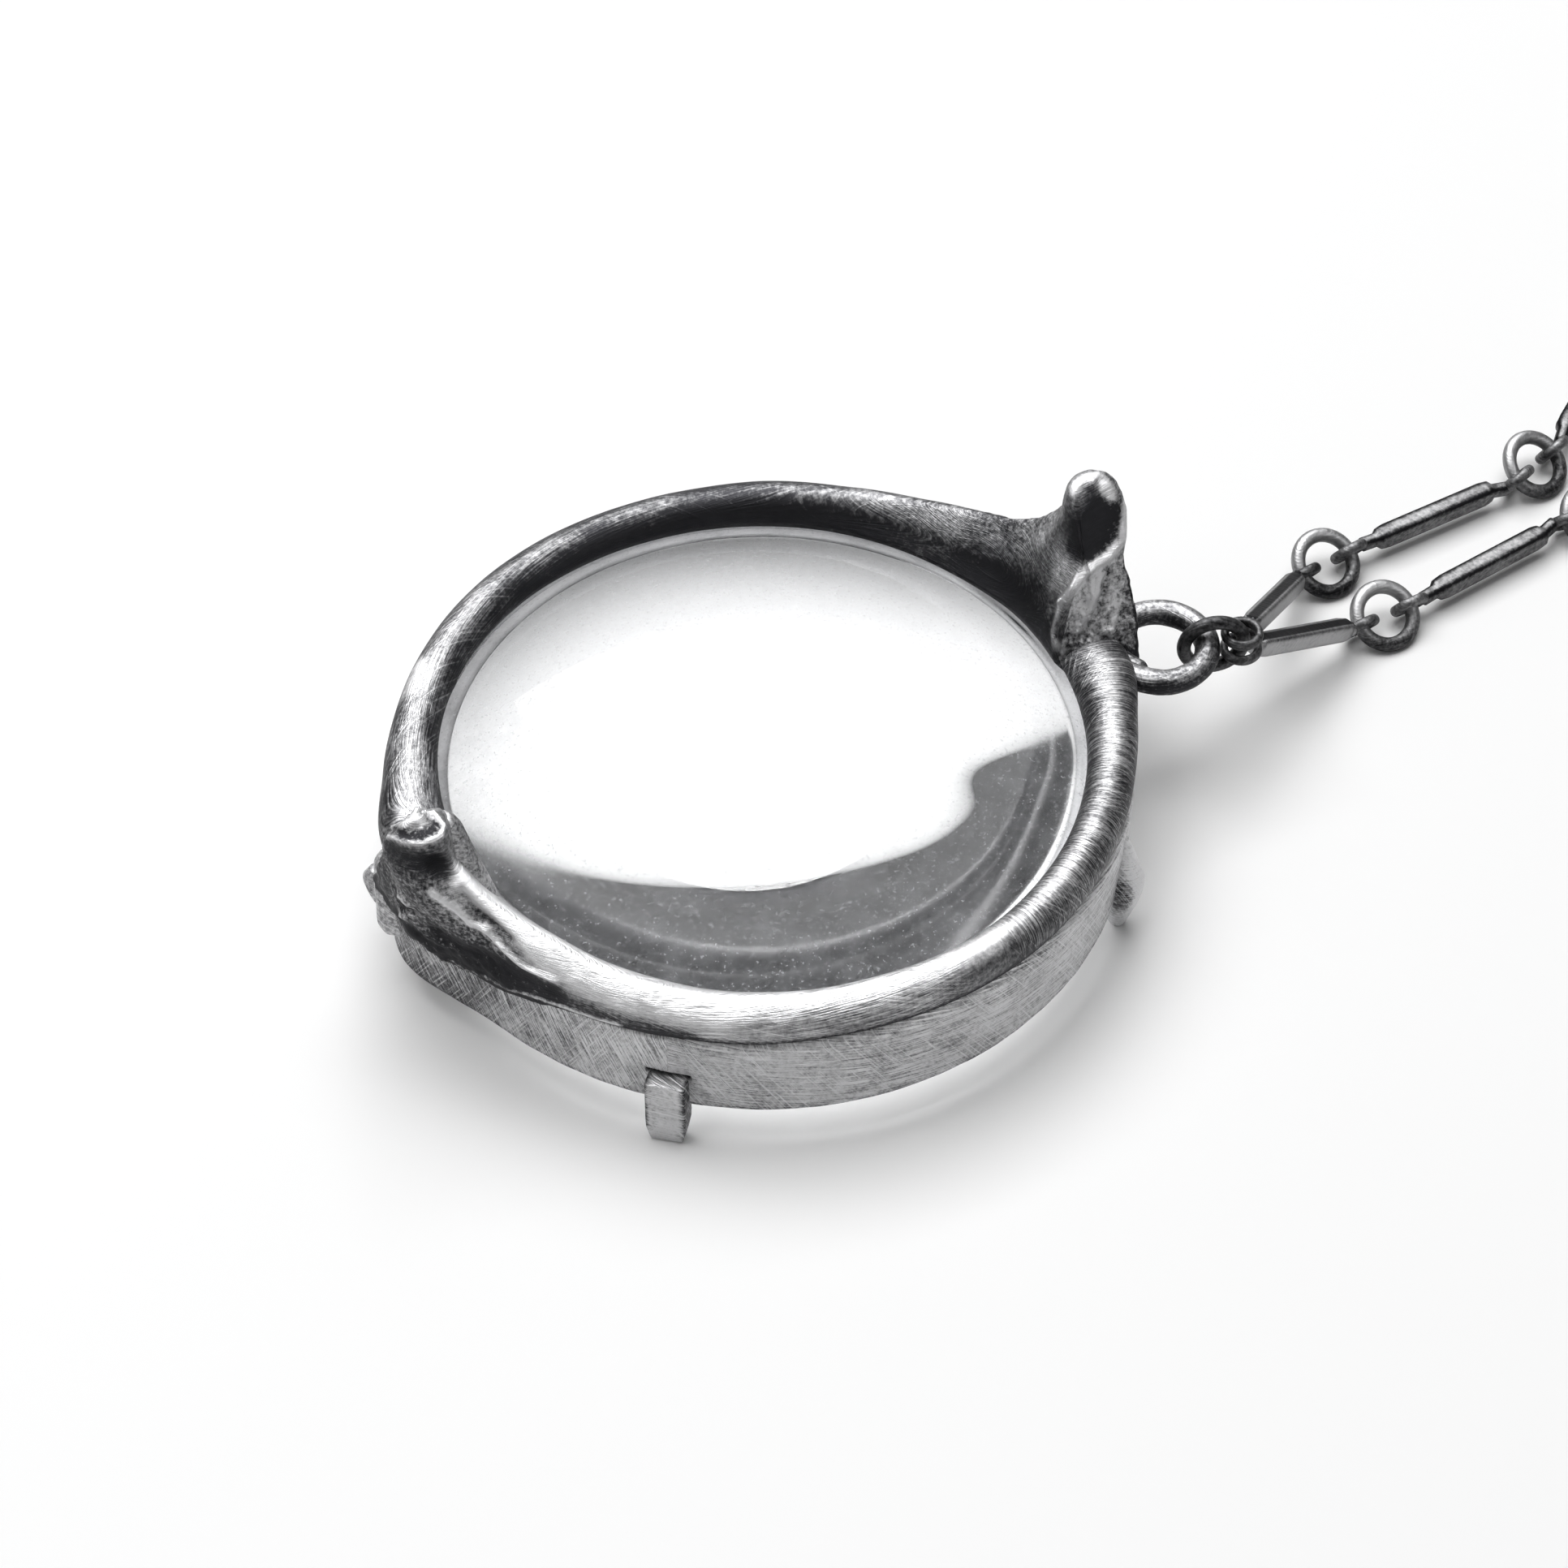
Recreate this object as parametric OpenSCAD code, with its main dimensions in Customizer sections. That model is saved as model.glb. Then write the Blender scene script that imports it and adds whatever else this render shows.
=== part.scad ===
// Spyglass pendant: a domed clear lens in a cast silver setting that is made of two
// bone-shaped halves. Each half rolls over the lens edge for half a turn and stands up at one
// end as a knobbed spur. The pendant lies on its four prongs, lens up, with its bar-and-ring
// neck chain laid out on the same floor. Millimetres, +Z up, floor at z = 0, and the camera
// of the picture stands towards -Y.

/* [Lens] */
// radius of the lens at its edge
lens_r = 20.3; // [20.0:0.05:20.4]
// height of the upper dome over the edge
dome_top = 5.5; // [3.5:0.1:6.5]
// depth of the lower dome under the edge
dome_bottom = 3.8; // [3.0:0.1:4.8]
// thickness of the lens at its edge
lens_edge = 0.9; // [0.7:0.05:1.2]

/* [Setting] */
// outer radius of the wall at its lower edge
wall_r_low = 22.5; // [22.2:0.05:22.8]
// outer radius of the wall at its top edge
wall_r_top = 22.8; // [22.5:0.05:23.1]
// height of the wall's lower edge over the floor
wall_low = 2.5; // [1.8:0.1:3.0]
// height of the wall's top edge over the floor
wall_top = 8.8; // [8.5:0.05:9.0]
// radius of the circle that the rolled rim follows
rim_r = 21.0; // [20.8:0.05:21.1]
// height of the middle of the rolled rim
rim_z = 9.75; // [9.6:0.05:9.9]
// how far the wall swells outwards at the right spur
swell_right = 2.4; // [1.6:0.1:2.6]
// how far the wall swells outwards at the left spur
swell_left = 1.8; // [1.4:0.1:2.2]
// direction of the cut end of the first half, seen from above
spur_az = 23; // [20:0.5:26]
// how much taller or lower the two spurs stand than drawn
spur_scale = 1; // [0.85:0.01:1.1]

/* [Prongs and loop] */
// width of the square front prong
tab_w = 2.5; // [2.2:0.1:2.8]
// direction of the front prong, seen from above
tab_az = -104; // [-108:1:-100]
// diameter of the loop's wire
loop_wire = 1.6; // [1.3:0.05:1.7]
// direction of the loop, seen from above
loop_az = 21; // [19:0.5:23]

/* [Chain] */
// distance from one ring's middle to the next
pitch = 17.4; // [16.8:0.1:18]
// length of a bar's square body
bar_body = 8.6; // [8:0.1:9]
// width and height of a bar's square body
bar_side = 1.25; // [1.1:0.05:1.3]
// diameter of the rings' wire
ring_wire = 0.85; // [0.75:0.05:0.9]

/* [Hidden] */
// faces round the setting, round a rim section and round a spur section
round_n = 96;
rim_n = 14;
spur_n = 16;
// clearance left between the glass and the metal
glass_gap = 0.1;
// unevenness of the hand-worked wall and rim
wave = 0.05;
// backward lean of each half's cut end, degrees of direction for each millimetre of height
cut_lean = 1.1;
cut_span = 24;
// degrees of direction that one half covers
half_turn = 177;
// wall thickness, and the inner radius of the seat under the lens
wall_t = 1.5;
seat_r = 18.7;
seat_t = 1.6;
// height of the lens edge's underside
edge_z = 8.15;
// middle of the swell, measured from the cut end, and how wide it spreads
swell_mid = 3;
swell_span = 11.5;
// mean radius and middle of the soldered loop
loop_r = 3.05;
loop_mid_r = 26.55;
loop_z = 9.0;
// mean radius of a chain ring, and how far it leans from flat
ring_r = 1.75;
ring_lean = 32;
ring_z = ring_r * sin(ring_lean) + ring_wire / 2;
// eye at each end of a bar
eye_hole = 1.6;
eye_band = 0.5;
eye_t = 0.6;
neck_w = 0.8;
// jump ring through the loop, and where on it the two first bars hang
jump_wire = 0.9;
jump_r = 1.9;
jump_az = 8;
jump_z = 8.75;
jump_out = 3.5;
far_slot = 21;
near_slot = -20;
// first ring of each strand and the direction in which the strands leave the pendant
near_start = [40.4, 19.6];
far_start = [36.9, 24.4];
leave_az = 32.5;
// turns of the strand away from that direction, bar by bar, in degrees
sway = [0, -30, -50, -55, -45, -28, -10, 8, 27, 45, 63, 81];
// middle of the whole necklace on the floor, which becomes the origin
mid_x = 79.45;
mid_y = 57.62;

// Helpers

function polar(r, a, z) = [r * cos(a), r * sin(a), z];
function unit(v) = v / norm(v);
function turn_to(a) = a - 360 * floor((a + 180) / 360);
function bell(x, span) = exp(-(x / span) * (x / span));

// row i of a table, found by its first column, with the columns blended in between
function row_at(table, x, i = 0) =
    i >= len(table) - 2 || x <= table[i + 1][0]
    ? let(low = table[i], high = table[i + 1],
          t = max(0, min(1, (x - low[0]) / (high[0] - low[0]))),
          s = t * t * (3 - 2 * t))
      low + (high - low) * s
    : row_at(table, x, i + 1);

// outward swell of the wall in a direction: hand-filed waves all round, and more at a spur
function swell(a) =
    wave * sin(4 * a + 35) + swell_right * bell(turn_to(a - spur_az - swell_mid), swell_span)
    + swell_left * bell(turn_to(a - spur_az - 180 - swell_mid), swell_span);

// joins closed sections, each a list of points, into one closed solid with flat ends
module loft(sections) {
    m = len(sections[0]);
    n = len(sections);
    polyhedron(
        points = [for (s = sections) for (p = s) p],
        faces = concat(
            [[for (j = [m - 1 : -1 : 0]) j]],
            [[for (j = [0 : m - 1]) (n - 1) * m + j]],
            [for (i = [0 : n - 2]) for (j = [0 : m - 1])
                [i * m + j, (i + 1) * m + (j + 1) % m, (i + 1) * m + j]],
            [for (i = [0 : n - 2]) for (j = [0 : m - 1])
                [i * m + j, i * m + (j + 1) % m, (i + 1) * m + (j + 1) % m]]));
}

// joins closed sections round a full turn, so the last meets the first
module ring_loft(sections) {
    m = len(sections[0]);
    n = len(sections);
    polyhedron(
        points = [for (s = sections) for (p = s) p],
        faces = concat(
            [for (i = [0 : n - 1]) for (j = [0 : m - 1])
                [i * m + j, ((i + 1) % n) * m + (j + 1) % m, ((i + 1) % n) * m + j]],
            [for (i = [0 : n - 1]) for (j = [0 : m - 1])
                [i * m + j, i * m + (j + 1) % m, ((i + 1) % n) * m + (j + 1) % m]]));
}

// Lens

// radius of the sphere whose cap has this height over the lens edge
function dome_r(r, height) = (r * r + height * height) / (2 * height);

// half outline of the lens, grown by g on every side
function lens_outline(g, steps) =
    let(rt = dome_r(lens_r, dome_top), rb = dome_r(lens_r, dome_bottom),
        top_z = edge_z + lens_edge + dome_top - rt,
        low_z = edge_z - dome_bottom + rb,
        at = asin(lens_r / rt), ab = asin(lens_r / rb))
    concat(
        [for (i = [0 : steps]) let(a = ab * i / steps)
            [(rb + g) * sin(a), low_z - (rb + g) * cos(a)]],
        [[lens_r + g, edge_z], [lens_r + g, edge_z + lens_edge]],
        [for (i = [steps : -1 : 0]) let(a = at * i / steps)
            [(rt + g) * sin(a), top_z + (rt + g) * cos(a)]]);

module lens() {
    rt = dome_r(lens_r, dome_top);
    rb = dome_r(lens_r, dome_bottom);
    color([0.92, 0.94, 0.95, 0.35])
        intersection() {
            translate([0, 0, edge_z - dome_bottom - 1])
                cylinder(r = lens_r, h = dome_bottom + lens_edge + dome_top + 2, $fn = 96);
            translate([0, 0, edge_z + lens_edge + dome_top - rt])
                sphere(r = rt, $fn = 160);
            translate([0, 0, edge_z - dome_bottom + rb])
                sphere(r = rb, $fn = 160);
        }
}

// Wall and seat

// section of the wall in one direction: outside, top, inside, and the seat's ledge
function wall_section(a) =
    let(out = swell(a))
    [for (p = [
        [wall_r_low - 0.25 + out, wall_low],
        [wall_r_low + out, wall_low + 0.2],
        [(wall_r_low + wall_r_top) / 2 + 0.05 + out, (wall_low + wall_top) / 2],
        [wall_r_top + out, wall_top - 0.15],
        [wall_r_top - 0.2 + out, wall_top],
        [rim_r + out * 0.7, rim_z - 0.13],
        [rim_r - 0.5, rim_z - 0.13],
        [wall_r_low - wall_t, edge_z + 0.4],
        [seat_r, edge_z + 0.4],
        [seat_r, edge_z - seat_t],
        [wall_r_low - wall_t, edge_z - seat_t - 1],
        [wall_r_low - wall_t + out * 0.6, wall_low]])
        polar(p[0], a, p[1])];

module wall() {
    ring_loft([for (i = [0 : round_n - 1]) wall_section(i * 360 / round_n)]);
}

// Halves of the rim

// degrees from the cut end, crest over the plain rim, half width, upper half height,
// lower half height, outward lean of the crest, narrowing of the crest, outward shift
bone_rows = [
    [0,   4.1, 2.95, 1.85, 4.6, 1.5, 0.15, 1.65],
    [9,   4.1, 2.80, 1.80, 4.5, 1.6, 0.20, 1.5],
    [14,  3.6, 2.45, 1.75, 4.3, 1.5, 0.35, 1.2],
    [18,  2.7, 2.20, 1.70, 4.0, 1.3, 0.45, 0.9],
    [23,  1.9, 2.00, 1.65, 3.6, 1.0, 0.45, 0.6],
    [31,  1.4, 1.85, 1.65, 3.0, 0.7, 0.35, 0.4],
    [40,  0.8, 1.80, 1.60, 2.3, 0.5, 0.25, 0.2],
    [54,  0.3, 1.75, 1.60, 1.8, 0.2, 0.10, 0],
    [79,  0, 1.65, 1.60, 1.6, 0, 0, 0],
    [122, 0, 1.55, 1.60, 1.6, 0, 0, -0.1],
    [152, 0, 1.75, 1.65, 1.6, 0, 0, 0.1],
    [164, 0, 1.85, 1.65, 1.6, 0, 0, 0.3],
    [173, 0, 2.05, 1.50, 1.6, 0, 0, 0.8],
    [177, 0, 1.95, 1.20, 1.6, 0, 0, 0.9]];

// section of a half d degrees from its cut end, with its crest grown by the given factor
// and its end shifted outwards by out and hanging lower by drop
function bone_section(d, grow, out, drop) =
    let(row = row_at(bone_rows, d),
        middle = rim_r + row[7] + out * bell(d, cut_span) + wave * sin(7 * d),
        low = row[4] + drop * bell(d, cut_span),
        slant = cut_lean * max(0, 1 - d / cut_span))
    [for (j = [0 : rim_n - 1])
        let(t = 360 * j / rim_n, up = max(0, sin(t)), down = max(0, -sin(t)),
            rise = (row[3] + row[1] * grow) * up - low * down,
            inward = cos(t) < 0 ? 1 - 0.5 * down : 1,
            side = row[2] * cos(t) * (1 - row[6] * up) * inward)
        polar(middle + side + row[5] * up, spur_az + d + slant * rise, rim_z + rise)];

// height, distance out, degrees from the cut end, half width along the rim, half depth
spur_rows = [
    [8.6,  22.4, 12.5, 2.6, 1.8],
    [11.5, 23.0, 12.0, 2.7, 2.0],
    [13.4, 23.8, 11.6, 2.6, 2.1],
    [15.2, 24.5, 11.2, 2.25, 2.0],
    [16.8, 24.8, 10.9, 1.9, 1.95],
    [18.2, 24.7, 10.7, 1.8, 1.85],
    [19.2, 24.6, 10.6, 1.5, 1.55],
    [19.7, 24.6, 10.5, 0.8, 0.8]];
spur_foot = spur_rows[0][0];
spur_top = spur_rows[len(spur_rows) - 1][0];

function spur_section(z, grow, stand, out) =
    let(row = row_at(spur_rows, z), a = spur_az + row[2],
        mid = polar(row[1] + out, a, rim_z + (z - rim_z) * spur_scale * stand))
    [for (j = [spur_n - 1 : -1 : 0]) let(t = 360 * j / spur_n)
        mid + row[4] * cos(t) * (cos(t) < 0 ? grow : 1) * polar(1, a, 0)
        + row[3] * sin(t) * (sin(t) > 0 ? grow : 1) * polar(1, a + 90, 0)];

// one half with its spur: grow thickens the web and the spur's inner side, stand is the
// spur's height against the right one's, out moves it away from the lens and drop lowers
// the cut end's underside
module half(grow, stand, out, drop) {
    loft([for (i = [0 : 50]) bone_section(half_turn * i / 50, grow, out, drop)]);
    loft([for (i = [0 : 12])
        spur_section(spur_foot + (spur_top - spur_foot) * i / 12, grow, stand, out)]);
}

// Prongs

// square prong at the front, in its own notch
module tab() {
    rotate([0, 0, tab_az]) {
        hull() {
            translate([wall_r_low - 0.6, -tab_w / 2, 1.2])
                cube([1.75, tab_w, 4.0]);
            translate([wall_r_low - 0.3, -tab_w / 2 + 0.2, 0])
                cube([1.25, tab_w - 0.4, 1.2]);
        }
        hull() {
            translate([wall_r_low - 1.2, -tab_w / 2, 2.6])
                cube([0.8, tab_w, 2.4]);
            translate([wall_r_low - 0.6, -tab_w / 2, 1.9])
                cube([0.5, tab_w, 3.0]);
        }
    }
}

// leaf-shaped prong against the wall, with a small flat foot
module leaf(a) {
    out = swell(a);
    rotate([0, 0, a]) {
        hull() {
            translate([wall_r_top - 0.1 + out, 0, 7.6])
                sphere(r = 0.3, $fn = 8);
            translate([wall_r_low + 0.25 + out, 0, 3.6])
                resize([3.0, 3.0, 3.4])
                    sphere(r = 1, $fn = 12);
        }
        hull() {
            translate([wall_r_low + 0.25 + out, 0, 3.2])
                resize([3.0, 2.8, 2.4])
                    sphere(r = 1, $fn = 12);
            translate([wall_r_low + 0.1 + out, 0, 0])
                cylinder(r = 0.6, h = 0.4, $fn = 12);
        }
    }
}

// knuckle under the left spur's cut end, and the rough lump on the wall behind it
module knuckle() {
    hull() {
        translate(polar(wall_r_top + 1.3, 203.5, 5.4))
            sphere(r = 1.2, $fn = 12);
        translate(polar(wall_r_top + 0.7, 202, 8.6))
            sphere(r = 1.6, $fn = 12);
        translate(polar(wall_r_top - 0.6, 209, 6.2))
            sphere(r = 1.3, $fn = 12);
    }
    hull() {
        translate(polar(wall_r_top + 1.6, 196, 5.6))
            sphere(r = 0.9, $fn = 10);
        translate(polar(wall_r_top + 1.2, 197.5, 4.5))
            sphere(r = 0.8, $fn = 10);
        translate(polar(wall_r_top - 0.3, 200, 4.8))
            sphere(r = 0.9, $fn = 10);
    }
}

// Loop

module loop() {
    translate(polar(loop_mid_r, loop_az, loop_z))
        rotate_extrude($fn = 36)
            translate([loop_r, 0])
                circle(d = loop_wire, $fn = 12);
    hull() {
        translate(polar(wall_r_top + 1.6, loop_az - 3, loop_z - 0.1))
            sphere(d = loop_wire, $fn = 10);
        translate(polar(wall_r_top, loop_az - 5, loop_z - 0.4))
            sphere(d = loop_wire + 0.4, $fn = 10);
        translate(polar(wall_r_top, loop_az + 4, loop_z - 0.4))
            sphere(d = loop_wire + 0.4, $fn = 10);
    }
}

module frame() {
    color([0.55, 0.55, 0.56])
        difference() {
            union() {
                wall();
                half(1, 1, 0, 0);
                rotate([0, 0, 180])
                    half(1.2, 0.87, -0.5, 0.6);
                tab();
                leaf(tab_az + 90);
                leaf(tab_az + 180);
                leaf(tab_az + 270);
                knuckle();
                loop();
            }
            rotate([0, 0, 90 / round_n])
                rotate_extrude($fn = round_n)
                    polygon(lens_outline(glass_gap, 8));
            rotate([0, 0, tab_az])
                translate([wall_r_low - 0.55, -tab_w / 2 - 0.45, 5.2])
                    cube([3, tab_w + 0.9, 0.7]);
        }
}

// Chain

// middles of the rings of one strand; side is -1 for the near strand and 1 for the far one
function ring_mid(k, side) =
    k == 0
    ? (side < 0 ? near_start : far_start)
    : ring_mid(k - 1, side) + pitch * [cos(bar_az(k, side)), sin(bar_az(k, side))];
function bar_az(k, side) = leave_az - side * sway[k - 1];

// direction of a ring, half way between the bars on its two sides
function ring_az(k, side) =
    k == 0 ? bar_az(1, side) + side * 2
    : k < len(sway) ? (bar_az(k, side) + bar_az(k + 1, side)) / 2
    : bar_az(k, side) - side * 4;
function hook(k, side, way) =
    let(m = ring_mid(k, side), a = ring_az(k, side))
    [m[0] + way * ring_r * cos(a), m[1] + way * ring_r * sin(a), ring_z];

// places children so that +X runs from p towards q, without roll
module along(p, q) {
    d = unit(q - p);
    translate(p)
        rotate([0, -asin(d[2]), atan2(d[1], d[0])])
            children();
}

// turns +Z to the direction of v
module face(v) {
    rotate([0, acos(v[2] / norm(v)), atan2(v[1], v[0])])
        children();
}

// flat eye round p with its hole along n
module eye(p, n) {
    translate(p)
        face(n)
            difference() {
                cylinder(d = eye_hole + 2 * eye_band, h = eye_t, center = true, $fn = 32);
                cylinder(d = eye_hole, h = eye_t + 1, center = true, $fn = 32);
            }
}

// short round neck from the band of an eye round p, with its hole along n, to the point b
module neck(p, n, b) {
    flat = (b - p) - ((b - p) * unit(n)) * unit(n);
    from = p + unit(flat) * (eye_hole + eye_band) / 2;
    translate(from)
        face(b - from)
            rotate([0, 0, 35])
                cylinder(d = neck_w, h = norm(b - from) + 0.7, $fn = 24);
}

// square bar with an eye round each of two points, their holes along np and nq
module bar(p, q, np, nq) {
    d = unit(q - p);
    mid = (p + q) / 2;
    eye(p, np);
    eye(q, nq);
    neck(p, np, mid - d * bar_body / 2);
    neck(q, nq, mid + d * bar_body / 2);
    along(p, q)
        translate([(norm(q - p) - bar_body) / 2, -bar_side / 2, -bar_side / 2])
            cube([bar_body, bar_side, bar_side]);
}

module chain_ring(k, side) {
    m = ring_mid(k, side);
    translate([m[0], m[1], ring_z])
        rotate([0, 0, ring_az(k, side)])
            rotate([ring_lean, 0, 0])
                rotate_extrude($fn = 32)
                    translate([ring_r, 0])
                        circle(d = ring_wire, $fn = 16);
}

// point on the jump ring's wire, a degrees over the level
function jump_mid() =
    polar(loop_mid_r, loop_az, 0) + polar(jump_out, jump_az, jump_z);
function jump_point(a) =
    jump_mid() + jump_r * (cos(a) * polar(1, jump_az, 0) + [0, 0, sin(a)]);

// direction of a leaning ring's wire where the bars hang on it
function wire_way(k, side) =
    polar(cos(ring_lean), ring_az(k, side) + 90, sin(ring_lean));

module strand(side) {
    slot = side < 0 ? near_slot : far_slot;
    bar(jump_point(slot), hook(0, side, -1), [0, 0, 1], wire_way(0, side));
    for (k = [0 : len(sway)])
        chain_ring(k, side);
    for (k = [1 : len(sway)])
        bar(hook(k - 1, side, 1), hook(k, side, -1), wire_way(k - 1, side), wire_way(k, side));
}

module jump_ring() {
    color([0.25, 0.25, 0.26])
        translate(jump_mid())
            rotate([90, 0, jump_az])
                rotate_extrude($fn = 48)
                    translate([jump_r, 0])
                        circle(d = jump_wire, $fn = 16);
}

module chain_near() {
    color([0.6, 0.6, 0.61])
        strand(-1);
}

module chain_far() {
    color([0.6, 0.6, 0.61])
        strand(1);
}

// plain closed clasp that joins the last ring of each strand
module clasp() {
    last = len(sway);
    p = hook(last, -1, 1);
    q = hook(last, 1, 1);
    length = norm(q - p);
    body = length - 4.4;
    mid = (p + q) / 2;
    color([0.6, 0.6, 0.61]) {
        eye(p, wire_way(last, -1));
        eye(q, wire_way(last, 1));
        neck(p, wire_way(last, -1), mid - unit(q - p) * body / 2);
        neck(q, wire_way(last, 1), mid + unit(q - p) * body / 2);
        along(p, q)
            translate([(length - body) / 2, -1.4, -0.7])
                cube([body, 2.8, 1.4]);
    }
}

translate([-mid_x, -mid_y, 0]) {
    lens();
    frame();
    jump_ring();
    chain_near();
    chain_far();
    clasp();
}
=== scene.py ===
# %% [markdown]
# # A spyglass pendant
# The object is a necklace with a magnifying lens: a clear double-domed glass in a cast silver
# setting, whose rim is two bone-shaped halves. Each half lies over the edge of the glass for
# half a turn and stands up at one end as a knobbed spur. The chain is made of square bars and
# round rings. This file dresses the exact solids of the construction with smooth, worn and
# hand-worked surfaces. Lengths are written in millimetres in the pendant's own axes, where the
# lens's middle is the origin, and are turned to metres when a mesh is made.

# %% Load the frame
import math
import bpy
import numpy as np
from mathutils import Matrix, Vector


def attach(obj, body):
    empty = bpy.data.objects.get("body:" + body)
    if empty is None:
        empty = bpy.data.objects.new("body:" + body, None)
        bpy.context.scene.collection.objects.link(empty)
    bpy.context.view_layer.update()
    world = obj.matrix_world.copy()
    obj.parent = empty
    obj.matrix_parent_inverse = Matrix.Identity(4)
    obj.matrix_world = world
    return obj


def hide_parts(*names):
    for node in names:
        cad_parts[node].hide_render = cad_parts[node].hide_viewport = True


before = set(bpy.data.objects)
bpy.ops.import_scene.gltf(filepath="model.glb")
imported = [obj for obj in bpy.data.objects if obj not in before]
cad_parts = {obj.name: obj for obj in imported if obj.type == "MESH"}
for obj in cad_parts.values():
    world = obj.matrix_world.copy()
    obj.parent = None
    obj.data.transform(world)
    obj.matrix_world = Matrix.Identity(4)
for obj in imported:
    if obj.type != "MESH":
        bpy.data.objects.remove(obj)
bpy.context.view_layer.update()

print("solids:", sorted(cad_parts))

# %% [markdown]
# ## Where things stand
# The construction puts the middle of the whole necklace over the origin, so the lens's middle
# is off to one side. Everything round the lens is easiest to write as a distance from the
# lens's axis, a direction in degrees and a height over the floor.

# %% Axes and small helpers
MM = 0.001
LENS_AXIS = np.array([-79.45, -57.62, 0.0])


def polar(r, a, z):
    """Point at distance r and direction a in degrees, at height z."""
    r, a, z = np.broadcast_arrays(np.asarray(r, float), np.radians(a), z)
    return np.stack([r * np.cos(a), r * np.sin(a), z], -1)


def spin(a):
    """Matrix that turns rows of x, y by a degrees round the axis."""
    c, s = math.cos(math.radians(a)), math.sin(math.radians(a))
    return np.array([[c, s], [-s, c]])


def bell(x, span):
    """exp(-(x / span)^2): 1 at nought, and almost nothing past twice the span."""
    return np.exp(-(np.asarray(x) / span) ** 2)


def turn_to(a):
    """The same direction between -180 and 180 degrees."""
    return (np.asarray(a) + 180) % 360 - 180


def step(x, low, high):
    """0 below low, 1 above high and 3t^2 - 2t^3 between them."""
    t = np.clip((np.asarray(x, float) - low) / (high - low), 0, 1)
    return t * t * (3 - 2 * t)


def table_at(table, x, blur):
    """A table's columns at x: straight lines between its rows, softened by taking their mean
    over a bell of the given width round x."""
    table = np.array(table, float)
    even = np.linspace(table[0, 0], table[-1, 0], 700)
    offsets = np.linspace(-1.6, 1.6, 9) * blur
    weights = bell(offsets, blur)
    near = even[:, None] + offsets
    columns = [np.interp(near, table[:, 0], c) @ weights / weights.sum() for c in table.T[1:]]
    return np.stack([np.interp(x, even, c) for c in columns], -1)


print("lens axis at", LENS_AXIS[:2], "mm")

# %% [markdown]
# ## Unevenness
# Cast and hand-filed metal is never quite even. Lattice noise gives that: a random number at
# each corner of a grid of cubes, blended smoothly inside each cube. The numbers are seeded, so
# every run makes the same metal.

# %% Seeded noise
def lattice(points, size, seed):
    """Smooth noise between -1 and 1 with lumps of the given size: the eight corner numbers of
    the cube round each point, blended by 3t^2 - 2t^3 in each direction."""
    numbers = np.random.default_rng(seed).uniform(-1, 1, (32, 32, 32))
    place = points / size
    cell = np.floor(place).astype(int)
    t = place - cell
    t = t * t * (3 - 2 * t)
    total = 0
    for corner in np.ndindex(2, 2, 2):
        share = np.prod(np.where(corner, t, 1 - t), -1)
        i, j, k = np.moveaxis((cell + corner) % 32, -1, 0)
        total = total + share * numbers[i, j, k]
    return total


def rough(points, size, seed, layers=3):
    """Layers of lattice noise, each half as big and half as strong as the last."""
    return sum(lattice(points, size / 2**n, seed + n) / 2**n for n in range(layers))


# %% [markdown]
# ## From arrays to a mesh
# A surface is a grid of points: rows run along the piece and columns round it. Its faces only
# need the numbers of their corners, so they are worked out as whole arrays too.

# %% Grids and meshes
def grid_faces(rows, columns, round_rows=False):
    """Corner numbers of the squares of a grid whose columns close, and its rows if asked."""
    i = np.arange(rows if round_rows else rows - 1)[:, None]
    i, j = np.broadcast_arrays(i, np.arange(columns)[None, :])
    down, right = (i + 1) % rows, (j + 1) % columns
    corners = [i * columns + j, i * columns + right, down * columns + right, down * columns + j]
    return np.stack(corners, -1).reshape(-1, 4)


def closed_grid(points, flip=True):
    """Points and faces of a tube whose two ends are each drawn to the end row's middle. The
    order of a face's corners says where outside is, and flip turns it round."""
    rows, columns = points.shape[:2]
    flat = points.reshape(-1, 3)
    ends = np.array([points[0].mean(0), points[-1].mean(0)])
    j = np.arange(columns)
    after = (j + 1) % columns
    last = (rows - 1) * columns
    start_cap = np.stack([after, j, np.full(columns, rows * columns)], -1)
    end_cap = np.stack([last + j, last + after, np.full(columns, rows * columns + 1)], -1)
    faces = [grid_faces(rows, columns), start_cap, end_cap]
    return np.vstack([flat, ends]), [f[:, ::-1] for f in faces] if flip else faces


def join(parts):
    """Several (points, faces) pairs as one pair."""
    points, faces, first = [], [], 0
    for p, fs in parts:
        points.append(p.reshape(-1, 3))
        faces += [f + first for f in fs]
        first += len(points[-1])
    return np.vstack(points), faces


def placed(name, data):
    """A new object that holds the data, put in the scene."""
    thing = bpy.data.objects.new(name, data)
    bpy.context.collection.objects.link(thing)
    return thing


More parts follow.
